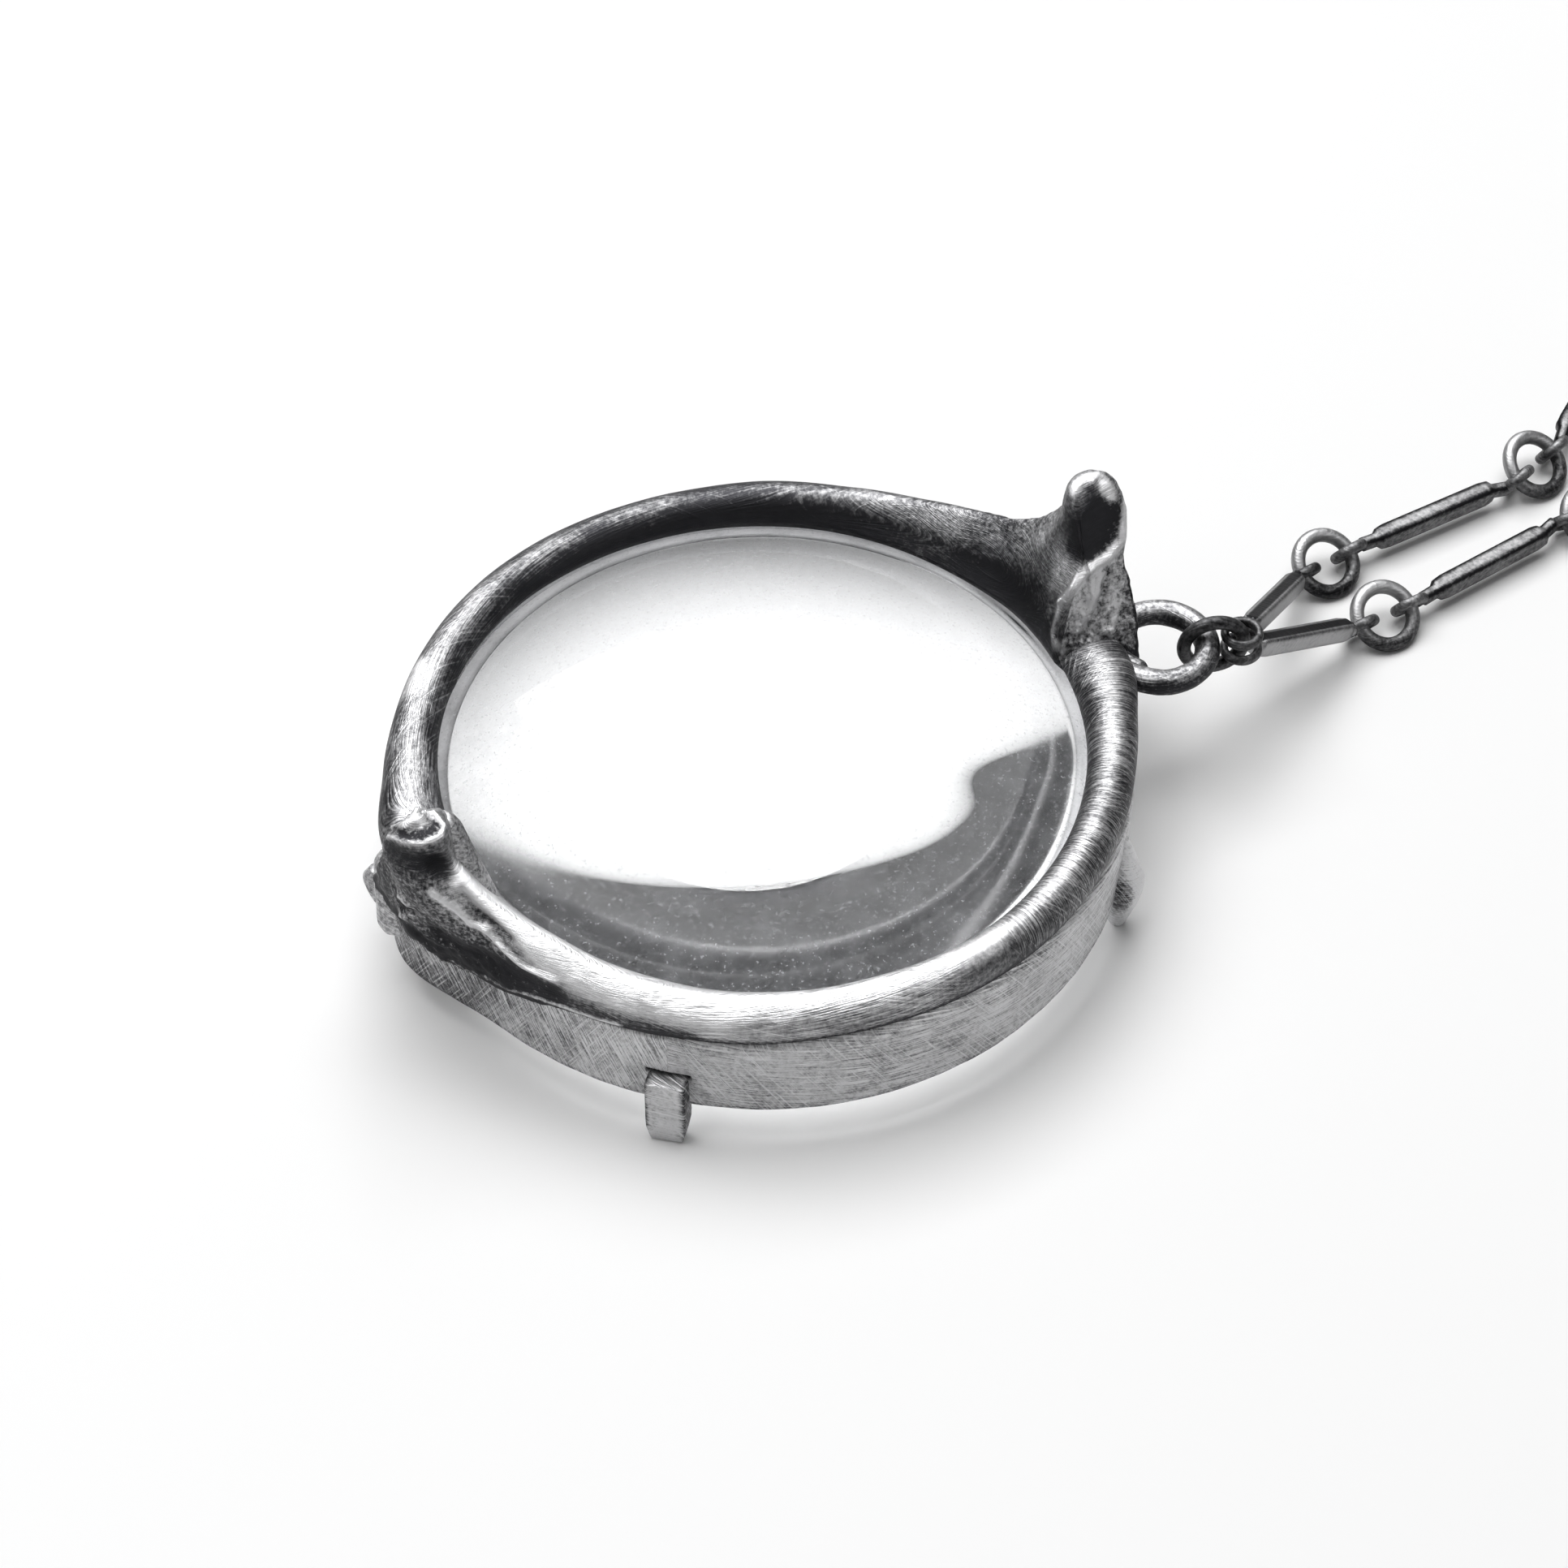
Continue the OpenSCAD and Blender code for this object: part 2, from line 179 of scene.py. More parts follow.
def make_piece(name, points, faces, material, node, values, lay=None):
    """A mesh object from points in millimetres that stands for a node of the construction.
    Its points carry a number under each name in values, and lay, a pair of lengths along and
    across the way the metal was worked."""
    points = points.reshape(-1, 3)
    corners = np.concatenate([f.ravel() for f in faces])
    sizes = np.concatenate([np.full(len(f), f.shape[1]) for f in faces])
    mesh = bpy.data.meshes.new(name)
    mesh.vertices.add(len(points))
    mesh.vertices.foreach_set("co", ((points + LENS_AXIS) * MM).ravel())
    mesh.loops.add(len(corners))
    mesh.loops.foreach_set("vertex_index", corners)
    mesh.polygons.add(len(sizes))
    mesh.polygons.foreach_set("loop_start", np.concatenate([[0], np.cumsum(sizes)[:-1]]))
    mesh.polygons.foreach_set("use_smooth", np.ones(len(sizes), bool))
    for key, numbers in ({"worked": 1.0} | values).items():
        layer = mesh.attributes.new(key, "FLOAT", "POINT")
        layer.data.foreach_set("value", np.broadcast_to(numbers, len(points)).ravel())
    if lay is not None:
        layer = mesh.attributes.new("lay", "FLOAT_VECTOR", "POINT")
        flat = np.zeros((len(points), 3))
        flat[:, :2] = lay.reshape(-1, 2) * MM
        layer.data.foreach_set("vector", flat.ravel())
    mesh.update(calc_edges=True)
    mesh.validate()
    mesh.materials.append(material)
    piece = placed(name, mesh)
    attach(piece, "root")
    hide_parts(node)
    triangles = sum(size - 2 for size in sizes)
    print(f"{name}: {len(points)} points, {triangles} triangles")
    return piece


def plain_lay(points):
    """Lay of a small piece: its strokes run level round it."""
    return np.stack([points[:, 0] + points[:, 1], points[:, 2]], -1)


# %% [markdown]
# ## Writing materials as sums
# Blender's materials are webs of nodes. The small class below holds one node's output and lets
# it be used like a number, so that a line such as 0.3 + 0.2 * grain puts down the Math nodes
# that it needs.

# %% A socket that can be reckoned with
class Flow:
    """One output in a material's node web. Without an output it only starts the web."""

    def __init__(self, tree, out=None):
        self.tree, self.out = tree, out

    def node(self, kind, settings=None, sockets=None, output=0):
        """Adds a node of this kind, makes its settings, fills its sockets by number or name
        with values or other flows, and returns the chosen output."""
        n = self.tree.nodes.new("ShaderNode" + kind)
        for key, value in (settings or {}).items():
            setattr(n, key, value)
        for key, value in (sockets or {}).items():
            if isinstance(value, Flow):
                self.tree.links.new(value.out, n.inputs[key])
            else:
                n.inputs[key].default_value = value
        return Flow(self.tree, n.outputs[output]) if len(n.outputs) else None

    def attribute(self, name, output="Fac"):
        """What each point carries under this name."""
        return self.node("Attribute", {"attribute_name": name}, None, output)

    def principled(self, sockets):
        return self.node("BsdfPrincipled", None, sockets)

    def maths(self, operation, *values):
        return self.node("Math", {"operation": operation}, dict(enumerate(values)))

    __add__ = __radd__ = lambda self, other: self.maths("ADD", self, other)
    __mul__ = __rmul__ = lambda self, other: self.maths("MULTIPLY", self, other)
    __sub__ = lambda self, other: self.maths("SUBTRACT", self, other)
    __rsub__ = lambda self, other: self.maths("SUBTRACT", other, self)
    __pow__ = lambda self, other: self.maths("POWER", self, other)

    def between(self, low, high, start=0.0, end=1.0):
        """start below low, end above high and a soft step between them."""
        ends = {"From Min": low, "From Max": high, "To Min": start, "To Max": end}
        soft = {"interpolation_type": "SMOOTHSTEP"}
        return self.node("MapRange", soft, {"Value": self} | ends)

    def tint(self, dark, light):
        """The colour that lies this far from dark to light."""
        colours = {0: self, 6: (*dark, 1), 7: (*light, 1)}
        return self.node("Mix", {"data_type": "RGBA", "clamp_factor": True}, colours, 2)

    def noise(self, place, scale, detail, roughness):
        """Noise between 0 and 1 with scale lumps in a metre of the given place."""
        sockets = {"Vector": place, "Scale": scale, "Detail": detail, "Roughness": roughness}
        return self.node("TexNoise", {"noise_dimensions": "3D"}, sockets)


def start_material(name):
    """An empty material and the flow that starts its web."""
    material = bpy.data.materials.new(name)
    material.use_nodes = True
    material.node_tree.nodes.clear()
    return material, Flow(material.node_tree)


def close_material(web, surface):
    web.node("OutputMaterial", None, {"Surface": surface})


# %% [markdown]
# ## Oxidised silver
# The setting is sterling silver that was blackened and then rubbed back by hand. What is proud
# is worn to a soft grey and shows the strokes of the file and the cloth, and what lies low
# stays nearly black with a fine grain. Painted shade darkens some places further, where shade
# falls on them. A picture wrapped round the metal would stretch on the spurs, so each point
# carries what the material needs: how dark the place is, from tarnish and from painted shade,
# then grit, how coarse its skin is, worked, how much of the strokes it shows, and lay, the
# lengths along and across the way the metal was worked, which the strokes follow.

# %% Silver with strokes
def strokes(web, lay, turn, length=0.03, scale=11000):
    """Fine parallel strokes that run turn degrees off the lay, as a number from 0 to 1: noise
    that is drawn out along them."""
    angle = {"Vector": lay, "Angle": math.radians(-turn)}
    turned = web.node("VectorRotate", {"rotation_type": "Z_AXIS"}, angle)
    sides = {0: turned, 1: (length, 1, 1)}
    drawn_out = web.node("VectorMath", {"operation": "MULTIPLY"}, sides)
    return web.noise(drawn_out, scale, 2, 0.6)


def silver(name, light, dark, gloss, turns, depth=1.0):
    """Metal between two tones, light where it is worn and dark where it is blackened or carries
    painted shade. gloss is its least roughness, turns are the two directions of the strokes off
    the lay, and depth is how deep they are. Wear is one minus the point's darkness from tarnish
    and painted shade, clouded by a slow noise, strokes and specks."""
    material, web = start_material(name)
    place = web.node("TexCoord", None, None, "Object")
    lay = web.attribute("lay", "Vector")
    tarnish_and_shade, grit = web.attribute("tarnish_and_shade"), web.attribute("grit")
    worked = web.attribute("worked")
    first = strokes(web, lay, turns[0]).between(0.36, 0.64)
    second = strokes(web, lay, turns[1], 0.02, 7500).between(0.50, 0.68)
    patch = web.noise(place, 420, 2, 0.5).between(0.4, 0.6)
    drawn = first * (0.55 + 0.45 * patch) + second * (0.8 - 0.55 * patch)
    cloud = web.noise(place, 240, 3, 0.6)
    speck = web.noise(place, 3600, 2, 0.65)
    smooth = (1 - grit) * worked
    wear = 1 - tarnish_and_shade + (cloud - 0.5) * 0.7 + (drawn - 0.5) * smooth * 0.40 * depth
    wear = wear + (speck - 0.5) * (0.5 + 1.5 * grit)
    tone = wear.between(0.0, 1.05).tint(dark, light)
    roughness = gloss + 0.16 * cloud + 0.14 * tarnish_and_shade + 0.2 * grit
    height = drawn * smooth * depth + speck * (0.2 + 0.9 * grit)
    bump = {"Height": height, "Strength": 0.7, "Distance": 0.00004}
    relief = web.node("Bump", None, bump)
    surface = {"Base Color": tone, "Metallic": 1.0, "Roughness": roughness, "Normal": relief}
    close_material(web, web.principled(surface))
    return material


rim_silver = silver("rubbed_silver", (0.68, 0.68, 0.69), (0.03, 0.03, 0.033), 0.26, (3, -24))
wall_silver = silver(
    "brushed_wall_silver", (0.66, 0.66, 0.67), (0.03, 0.03, 0.033), 0.30, (-6, -58), 2.0
)
print("silver:", rim_silver.name, wall_silver.name)

# %% [markdown]
# ## The lens
# The glass is two shallow domes with a thin upright edge between them. The picture seen in it
# is the work of the two curved faces alone: at the near side the light that comes from the eye
# meets the lower face so flatly that it is thrown back, and a grey crescent stands there. Its
# edge shows that the lower dome's middle lies left of the axis, and that the glass is uneven
# at its right and thicker at its back, as a hand-polished one is. Both faces are heights over
# a disc. Specks and a thin haze of dust lie on it, more of them where the number hazy rises.

# %% Glass
lens_r, dome_top, dome_bottom, lens_edge, edge_z = 20.3, 5.5, 3.8, 0.9, 8.15
low_x, low_y, edge_start, edge_end = -3.4, -0.7, 18.75, 20.1


def dome(x, y, height, x0=0.0, y0=0.0):
    """Height over its foot of a cap of a sphere with its middle at x0, y0. For a foot of
    radius r and a height h the sphere's radius is R = (r^2 + h^2) / 2h, and the cap stands
    sqrt(R^2 - x^2 - y^2) - R + h over its foot."""
    radius = (lens_r**2 + height**2) / (2 * height)
    return np.sqrt(radius**2 - (x - x0) ** 2 - (y - y0) ** 2) - radius + height


def wave_step(x, middle, width):
    """From 0 to 1 across the middle, by the width."""
    return 0.5 * (1 + np.tanh((x - middle) / width))


def low_face(x, y):
    """Height of the lower face: the off-centre dome, a dip at its right and a lower part at
    its back, which grows by 0.2 mm for each millimetre past y = 8. From edge_start to edge_end
    the face is drawn to a plain dome, so that it meets the round edge level."""
    dip = 0.7 * wave_step(y, -0.2, 2.9) * wave_step(-y, -9, 4) * wave_step(x, 9.35, 1.4)
    edge = step(np.hypot(x, y), edge_start, edge_end)
    back = 0.20 * 1.6 * np.log1p(np.exp((y - 8.0) / 1.6)) * bell(x - 1.5, 11)
    own = dome(x, y, dome_bottom, low_x, low_y) + dip + back
    return edge_z - own * (1 - edge) - dome(x, y, dome_bottom) * edge


def lens_points(columns=320, count=84):
    """Rows from the middle of the lower face over the edge to the middle of the upper one."""
    r = lens_r * np.sin(np.linspace(0, np.pi / 2, count))[1:, None]
    a = np.radians(np.arange(columns) * 360 / columns)[None, :]
    x, y = r * np.cos(a), r * np.sin(a)
    low = np.stack([x, y, low_face(x, y)], -1)
    high = np.stack([x, y, edge_z + lens_edge + dome(x, y, dome_top)], -1)
    return np.concatenate([low, high[::-1]])


def clear_glass():
    """Glass that bends what is seen through it, with a film of dust mixed in by the specks
    and the haze. To rays that ask whether a lamp is hidden it is clear, so that the lamps
    light the floor through it."""
    material, web = start_material("clear_glass")
    place = web.node("TexCoord", None, None, "Object")
    hazy = web.attribute("hazy")
    smear = web.noise(place, 90, 3, 0.5).between(0.5, 0.8, 0.0, 0.03) + 0.2 * hazy**4
    specks = web.noise(place, 3400, 2, 0.7).between(0.58, 0.70, 0.0, 0.16) * (1 + 1.2 * hazy)
    haze = web.noise(place, 420, 5, 0.7).between(0.38, 0.68, 0.01, 0.05) * (1 + 2 * hazy)
    body = {"Base Color": (0.97, 0.975, 0.98, 1), "Specular Tint": (0.06, 0.06, 0.06, 1)}
    glass = web.principled(body | {"Roughness": smear, "IOR": 1.5, "Transmission Weight": 1.0})
    dust = {"Base Color": (0.55, 0.56, 0.58, 1), "Roughness": 0.8, "Specular IOR Level": 0.2}
    film = web.principled(dust)
    glass = web.node("MixShader", None, {0: specks + haze, 1: glass, 2: film})
    shadow = web.node("LightPath", None, None, "Is Shadow Ray")
    clear = web.node("BsdfTransparent", None, {"Color": (1.0, 1.0, 1.0, 1)})
    close_material(web, web.node("MixShader", None, {0: shadow, 1: glass, 2: clear}))
    return material


flat, faces = closed_grid(lens_points(), flip=False)
far = np.hypot(flat[:, 0], flat[:, 1])
hazy = step(far, 11.0, 17.5) * (1 - step(flat[:, 1], 0, 6)) * (flat[:, 2] > edge_z + 0.5)
lens_piece = make_piece("clear_lens", flat, faces, clear_glass(), "lens", {"hazy": hazy})

# %% [markdown]
# ## The wall of the setting
# A band stands round the glass, a little wider at its top, with a ledge inside that lies close
# under the lens. It swells outwards under each spur. Its profile is carried round the axis,
# with the edges rounded as a file leaves them, and a notch is cut over the front prong. The
# wall was brushed level, but aslant at the left, so the lay turns there. It is darker along its
# lower edge and lighter on the ledge, and painted shade darkens it inside below the ledge, in
# the notch, under the rim and on its left side.

# %% Wall
rim_r, rim_z, wall_low, wall_top = 21.0, 9.75, 2.5, 8.8
wall_r_low, wall_r_top, wall_t = 22.5, 22.8, 1.5
seat_r, seat_t, wave = 18.7, 1.6, 0.05
spur_az, tab_az, tab_w = 23.0, -104.0, 2.5
notch_low, notch_top, notch_deep = (5.1, 5.2), (5.5, 5.6), 0.4
aslant_from, aslant = 150, 117


def swell(a):
    """How far the wall stands out in direction a: a slight wave and a bell at each spur."""
    right = 2.4 * bell(turn_to(a - spur_az - 3), 11.5)
    left = 1.8 * bell(turn_to(a - spur_az - 183), 11.5)
    return wave * np.sin(np.radians(4 * a + 35)) + right + left


def wall_profile(a):
    """Corners of the wall's section in each direction a, as distances and heights."""
    out = swell(a)
    mid = (wall_r_low + wall_r_top) / 2 + 0.05
    corners = [
        (wall_r_low - 0.25 + out, wall_low),
        (wall_r_low + out, wall_low + 0.25),
        (mid + out, (wall_low + wall_top) / 2),
        (wall_r_top + out, wall_top - 0.25),
        (wall_r_top - 0.25 + out, wall_top),
        (rim_r + 0.7 * out, rim_z - 0.13),
        (rim_r - 0.5, rim_z - 0.13),
        (wall_r_low - wall_t, edge_z + 0.4),
        (lens_r + 0.15, edge_z - 0.05),
        (seat_r, edge_z - dome(seat_r, 0, dome_bottom) - 0.07),
        (seat_r, edge_z - seat_t),
        (wall_r_low - wall_t, edge_z - seat_t - 1),
        (wall_r_low - wall_t + 0.6 * out, wall_low),
    ]
    return np.stack([np.stack([r + 0 * out, z + 0 * out], -1) for r, z in corners], -2)


def spread(corners, counts):
    """Points along a closed outline, with the given count on each side of it."""
    way = np.roll(corners, -1, -2) - corners
    sides = [
        corners[..., i, None, :] + way[..., i, None, :] * (np.arange(n) / n)[:, None]
        for i, n in enumerate(counts)
    ]
    return np.concatenate(sides, -2)


def soften(outline, times):
    """Rounds a closed outline: each point moves to the mean of itself and its neighbours."""
    for _ in range(times):
        outline = (np.roll(outline, 1, -2) + 2 * outline + np.roll(outline, -1, -2)) / 4
    return outline


def wall_points():
    """Rows are directions and columns go round the section; directions crowd at the gap."""
    even = np.arange(0, 360, 0.6)
    gap = tab_az % 360 + np.linspace(-6, 6, 90)
    a = np.unique(np.concatenate([even, gap]).round(4))
    counts = (3, 22, 22, 3, 12, 3, 8, 4, 8, 6, 4, 20, 6)
    outline = soften(spread(wall_profile(a), counts), 2)
    r, z = outline[..., 0], outline[..., 1]
    a2 = np.broadcast_to(a[:, None], r.shape)
    outer = step(r, 21.9, 22.3)
    half_gap = np.degrees((tab_w / 2 + 0.1) / wall_r_low)
    from_tab = np.abs(turn_to(a2 - tab_az))
    inside = 1 - step(from_tab, half_gap - 0.15, half_gap + 0.15)
    cut = inside * step(z, *notch_low) * (1 - step(z, *notch_top)) * outer
    points = polar(r - notch_deep * cut, a2, z)
    bumps = 0.06 * rough(points, 5.0, 11) + 0.02 * rough(points, 1.2, 12)
    ways = polar(1.0, a2, 0.0) * outer[..., None]
    return points + ways * bumps[..., None], a2, z, cut


points, a2, z, cut = wall_points()
round_way = np.stack([np.radians(a2) * wall_r_low, z], -1)
left_wall = (a2 > aslant_from) & (a2 < tab_az % 360)
round_way[left_wall] = round_way[left_wall] @ spin(-aslant)
# Painted shade: the tone is darkened inside below the ledge, in the notch, in a band under the
# rim and on the left side; the lower edge is darker and the ledge and the inner face over it
# lighter.
low_edge = 1 - step(z, wall_low, wall_low + 0.9)
inner = 1 - step(np.hypot(points[..., 0], points[..., 1]), 21.6, 22.0)
shade_under_rim = step(z, 8.85, 9.2)
left_side_shade = bell(turn_to(a2 - 208), 26)
ledge = inner * step(z, 7.2, 7.45)
tarnish_and_shade = 0.22 + 0.3 * low_edge + 0.45 * inner - 0.6 * ledge
tarnish_and_shade = np.clip(tarnish_and_shade + 0.9 * cut + 0.5 * shade_under_rim + 0.4 * left_side_shade, 0, 1)
looks = {
    "tarnish_and_shade": tarnish_and_shade.ravel(),
    "grit": ((0.25 + 0.3 * low_edge) * (1 - inner)).ravel(),
    "worked": ((1 - inner) * step(np.abs(a2 - aslant_from), 1, 4)).ravel(),
}
faces = [grid_faces(*points.shape[:2], round_rows=True)[:, ::-1]]
wall_piece = make_piece("setting_wall", points, faces, wall_silver, "frame", looks, round_way)

# %% [markdown]
# ## The two bones
# Each half of the rim is a bone: a rolled bar over the edge of the glass that swells into a
# high web and a knobbed spur at its cut end. It could be sculpted, but a sum of two simple
# bodies does it: the bar, whose section changes along the rim, and the spur, a leaning column.
# A ray is sent from the bar's middle line in every direction round it, and the place where it
# leaves the soft union of the two bodies is a point of the surface. That gives one grid, along
# and round the bone, which the strokes can follow. They run along the bar, but across it on
# the right side of the pendant.

# %% Tables of the bone
# degrees from the cut end, crest over the plain rim, half width, upper half height,
# lower half height, outward lean of the crest, narrowing of the crest, outward shift
bone_rows = [
    [0, 4.1, 2.95, 1.85, 4.6, 1.5, 0.15, 1.65],
    [9, 4.1, 2.80, 1.80, 4.5, 1.6, 0.20, 1.5],
    [14, 3.6, 2.45, 1.75, 4.3, 1.5, 0.35, 1.2],
    [18, 2.7, 2.20, 1.70, 4.0, 1.3, 0.45, 0.9],
    [23, 1.9, 2.00, 1.65, 3.6, 1.0, 0.45, 0.6],
    [31, 1.4, 1.85, 1.65, 3.0, 0.7, 0.35, 0.4],
    [40, 0.8, 1.65, 1.55, 2.3, 0.5, 0.25, 0.3],
    [54, 0.3, 1.50, 1.50, 1.8, 0.2, 0.10, 0.25],
    [79, 0, 1.40, 1.50, 1.6, 0, 0, 0.25],
    [122, 0, 1.38, 1.50, 1.6, 0, 0, 0.2],
    [152, 0, 1.50, 1.55, 1.6, 0, 0, 0.35],
    [164, 0, 1.70, 1.60, 1.6, 0, 0, 0.5],
    [173, 0, 2.10, 1.50, 1.6, 0, 0, 0.9],
    [180, 0, 2.15, 1.15, 1.6, 0, 0, 1.0],
]
# height, distance out, degrees from the cut end, half width along the rim, half depth
spur_rows = [
    [8.6, 22.4, 12.5, 2.6, 1.8],
    [11.5, 23.0, 12.0, 2.7, 2.0],
    [13.4, 23.8, 11.6, 2.6, 2.1],
    [15.2, 24.5, 11.2, 2.25, 2.0],
    [16.8, 24.8, 10.9, 1.9, 1.95],
    [18.2, 24.7, 10.7, 1.85, 1.95],
    [19.0, 24.6, 10.6, 1.55, 1.65],
    [19.35, 24.6, 10.5, 1.15, 1.2],
    [19.5, 24.6, 10.5, 0.05, 0.05],
]
half_turn, cut_span, cut_lean = 179.3, 24.0, 1.1
spur_low, spur_top, mean_r = spur_rows[0][0], spur_rows[-1][0], 22
spur_reach, blend, tip_size = 30, 0.7, 0.9
print("bone table to", bone_rows[-1][0], "degrees, spur from", spur_low, "to", spur_top, "mm")


# %% The bone as a field
def bone_field(d, x, rise, grow, drop):
    """About the distance outside the bar, in millimetres, of the point x outwards and rise
    upwards of its middle line, d degrees from the cut end. Over the middle the section is an
    ellipse that leans and narrows with its height, and under it a plain half ellipse."""
    crest, width, high, low, lean, pinch, _ = np.moveaxis(table_at(bone_rows, d, 2.0), -1, 0)
    high = high + crest * grow
    low = low + drop * bell(d, cut_span)
    up = rise / np.where(rise > 0, high, low)
    slim = np.where(rise > 0, 1 - pinch * np.clip(up, 0, 1.2), 1.0)
    slim = np.where((rise < 0) & (x < 0), 1 - 0.3 * np.clip(-up, 0, 1), slim)
    side = (x - np.where(rise > 0, lean * up, 0)) / (width * np.maximum(slim, 0.1))
    return (np.sqrt(side**2 + up**2) - 1) * np.minimum(width, 2.2)


def spur_field(a, r, z, grow, stand, out):
    """The same for the spur: a column whose section at each height is an ellipse, fuller by
    grow inwards and away from the cut. stand stretches its height over the rim."""
    height = rim_z + (z - rim_z) / stand
    row = table_at(spur_rows, np.clip(height, spur_low, spur_top), 0.25)
    turn = np.radians(a - spur_az - row[..., 1])
    deep = r * np.cos(turn) - row[..., 0] - out
    wide = r * np.sin(turn)
    deep = deep / (row[..., 3] * np.where(deep < 0, grow, 1))
    wide = wide / (row[..., 2] * np.where(wide > 0, grow, 1))
    over = np.maximum(height - spur_top, 0) + np.maximum(spur_low - height, 0)
    return (np.sqrt(deep**2 + wide**2) - 1) * 1.9 + over


def soft_union(f, g):
    """The lower of two fields, rounded where they are within blend of each other."""
    t = np.clip(0.5 + 0.5 * (g - f) / blend, 0, 1)
    return g + (f - g) * t - blend * t * (1 - t)


def on_ray(d, t, s, out):
    """The point s along a ray at the angle t: how far outwards and upwards of the bar's middle
    line it lies, its direction, which leans near the cut end, and its distance from the axis."""
    x, rise = s * np.cos(t), s * np.sin(t)
    a = spur_az + d + cut_lean * np.maximum(0, 1 - d / cut_span) * rise
    shift = table_at(bone_rows, d, 2.0)[..., 6]
    line = rim_r + shift + out * bell(d, cut_span) + wave * np.sin(np.radians(7 * d))
    return x, rise, a, line + x


def ray_lengths(d, t, grow, stand, out, drop, reach=12.0, steps=120):
    """How far a ray at the angle t round the middle line runs before it leaves the bone: the
    last change of sign of the field on it, found by a straight line between two steps."""
    d, t = d[:, None, None], t[None, :, None]
    s = np.linspace(0.2, reach, steps)[None, None, :]
    x, rise, a, r = on_ray(d, t, s, out)
    field = bone_field(d, x, rise, grow, drop)
    if d.min() < spur_reach:
        field = soft_union(field, spur_field(a, r, rim_z + rise, grow, stand, out))
    inside = field < 0
    last = np.clip(steps - 1 - np.argmax(inside[..., ::-1], -1), 0, steps - 2)
    f0 = np.take_along_axis(field, last[..., None], -1)[..., 0]
    f1 = np.take_along_axis(field, last[..., None] + 1, -1)[..., 0]
    share = np.clip(f0 / np.where(f0 - f1 == 0, 1, f0 - f1), 0, 1)
    s = s[0, 0]
    return s[last] + share * (s[1] - s[0])


def eased(length, times=8):
    """Each long ray moves 0.7 of the way to the mean of its four neighbours, a few times. This
    eases the places where one ray meets the head of the spur and the next one passes it."""
    for _ in range(times):
        rows = np.pad(length, ((1, 1), (0, 0)), "edge")
        around = (np.roll(length, 1, 1) + np.roll(length, -1, 1) + rows[:-2] + rows[2:]) / 4
        length = length + 0.7 * step(length, 4.5, 6.5) * (around - length)
    return length


def bone_surface(d, t, length, out):
    """Points at the ends of the rays."""
    _, rise, a, r = on_ray(d, t, length, out)
    return polar(r, a, rim_z + rise)


upright = ray_lengths(np.array([40.0, 90.0]), np.radians([90.0]), 1.0, 1.0, 0.0, 0.0)
print("crest over the bar's middle line, 40 and 90 degrees on:", upright.ravel().round(2), "mm")

# %% One half from the field
def even_rows(grow, stand, out, drop, count):
    """Directions of the rows, crowded where the crest climbs, so that rows lie evenly."""
    d = np.linspace(0, half_turn, 1400)
    t = np.radians([60.0, 75.0, 90.0])
    length = np.concatenate([ray_lengths(p, t, grow, stand, out, drop) for p in np.split(d, 7)])
    crest = bone_surface(d[:, None], t, length, out)
    stride = np.linalg.norm(np.diff(crest, axis=0), axis=-1).max(1)
    travelled = np.concatenate([[0], np.cumsum(stride)])
    return np.interp(np.linspace(0, travelled[-1], count), travelled, d)


def normals_of(points):
    """Outward normal of each point of a grid, closed round its columns."""
    along = np.gradient(points, axis=0)
    around = (np.roll(points, -1, 1) - np.roll(points, 1, 1)) / 2
    n = np.cross(along, around)
    return n / np.maximum(np.linalg.norm(n, axis=-1, keepdims=True), 1e-9)


def along_line(points, n, line):
    """Distance over the surface from each point to a line of straight pieces, given as rows of
    distance, direction and height: the part of the way that lies along the normal is left out,
    and the far side of the bone doesn't count."""
    line = polar(*np.array(line, float).T)
    best = np.full(points.shape[:-1], 99.0)
    for a, b in zip(line[:-1], line[1:]):
        share = np.clip((points - a) @ (b - a) / ((b - a) @ (b - a)), 0, 1)
        way = points - a - share[..., None] * (b - a)
        off = (way * n).sum(-1)
        flat = np.sqrt(np.maximum((way**2).sum(-1) - off**2, 0))
        best = np.minimum(best, flat + 3 * np.maximum(np.abs(off) - 1.0, 0))
    return best


def bone_looks(d, t, z, tones, face):
    """How dark each point of a bone is, how coarse, how much of the strokes it shows, and its
    share of the web. The crest is worn, and the web, the underside and the face at the cut
    end, the first rows of the grid, are rough. The underside is also darker, as painted shade."""
    web = 1 - step(d, 20, 42)[:, None]
    outer = step(np.cos(t)[None, :], -0.1, 0.4)
    cut = np.zeros_like(z)
    cut[:face] = 1
    over = step(z, 12.5, 19.5)
    below = 1 - step(np.sin(t)[None, :] + 0 * d[:, None], -0.75, -0.1)
    crest = bell(turn_to(np.degrees(t) - 92), 38)[None, :]
    dark, worked = np.moveaxis(table_at(tones, d, 3.0)[:, None, :] + 0 * z[..., None], -1, 0)
    # Painted shade: the underside of the bar is darkened by 0.6.
    tarnish_and_shade = dark - 0.40 * crest + 0.30 * web + 0.05 * web * over + 0.6 * below
    tarnish_and_shade = tarnish_and_shade - cut * (0.3 - 0.45 * step(z, 14.2, 15.4))
    grit = 0.08 + 0.6 * web * outer * (1 - 0.6 * over) * (1 - cut) + 0.6 * below + 0.75 * cut
    return tarnish_and_shade, grit + 0.2 * web * over, worked, web


def round_fall(d, size, most=1.0):
    """1 - sqrt(1 - t^2), where t falls from 1 at the end of a bone to 0 at size from it."""
    t = np.clip(1 - d * np.radians(1) * mean_r / size, 0, most)
    return 1 - np.sqrt(1 - t**2)


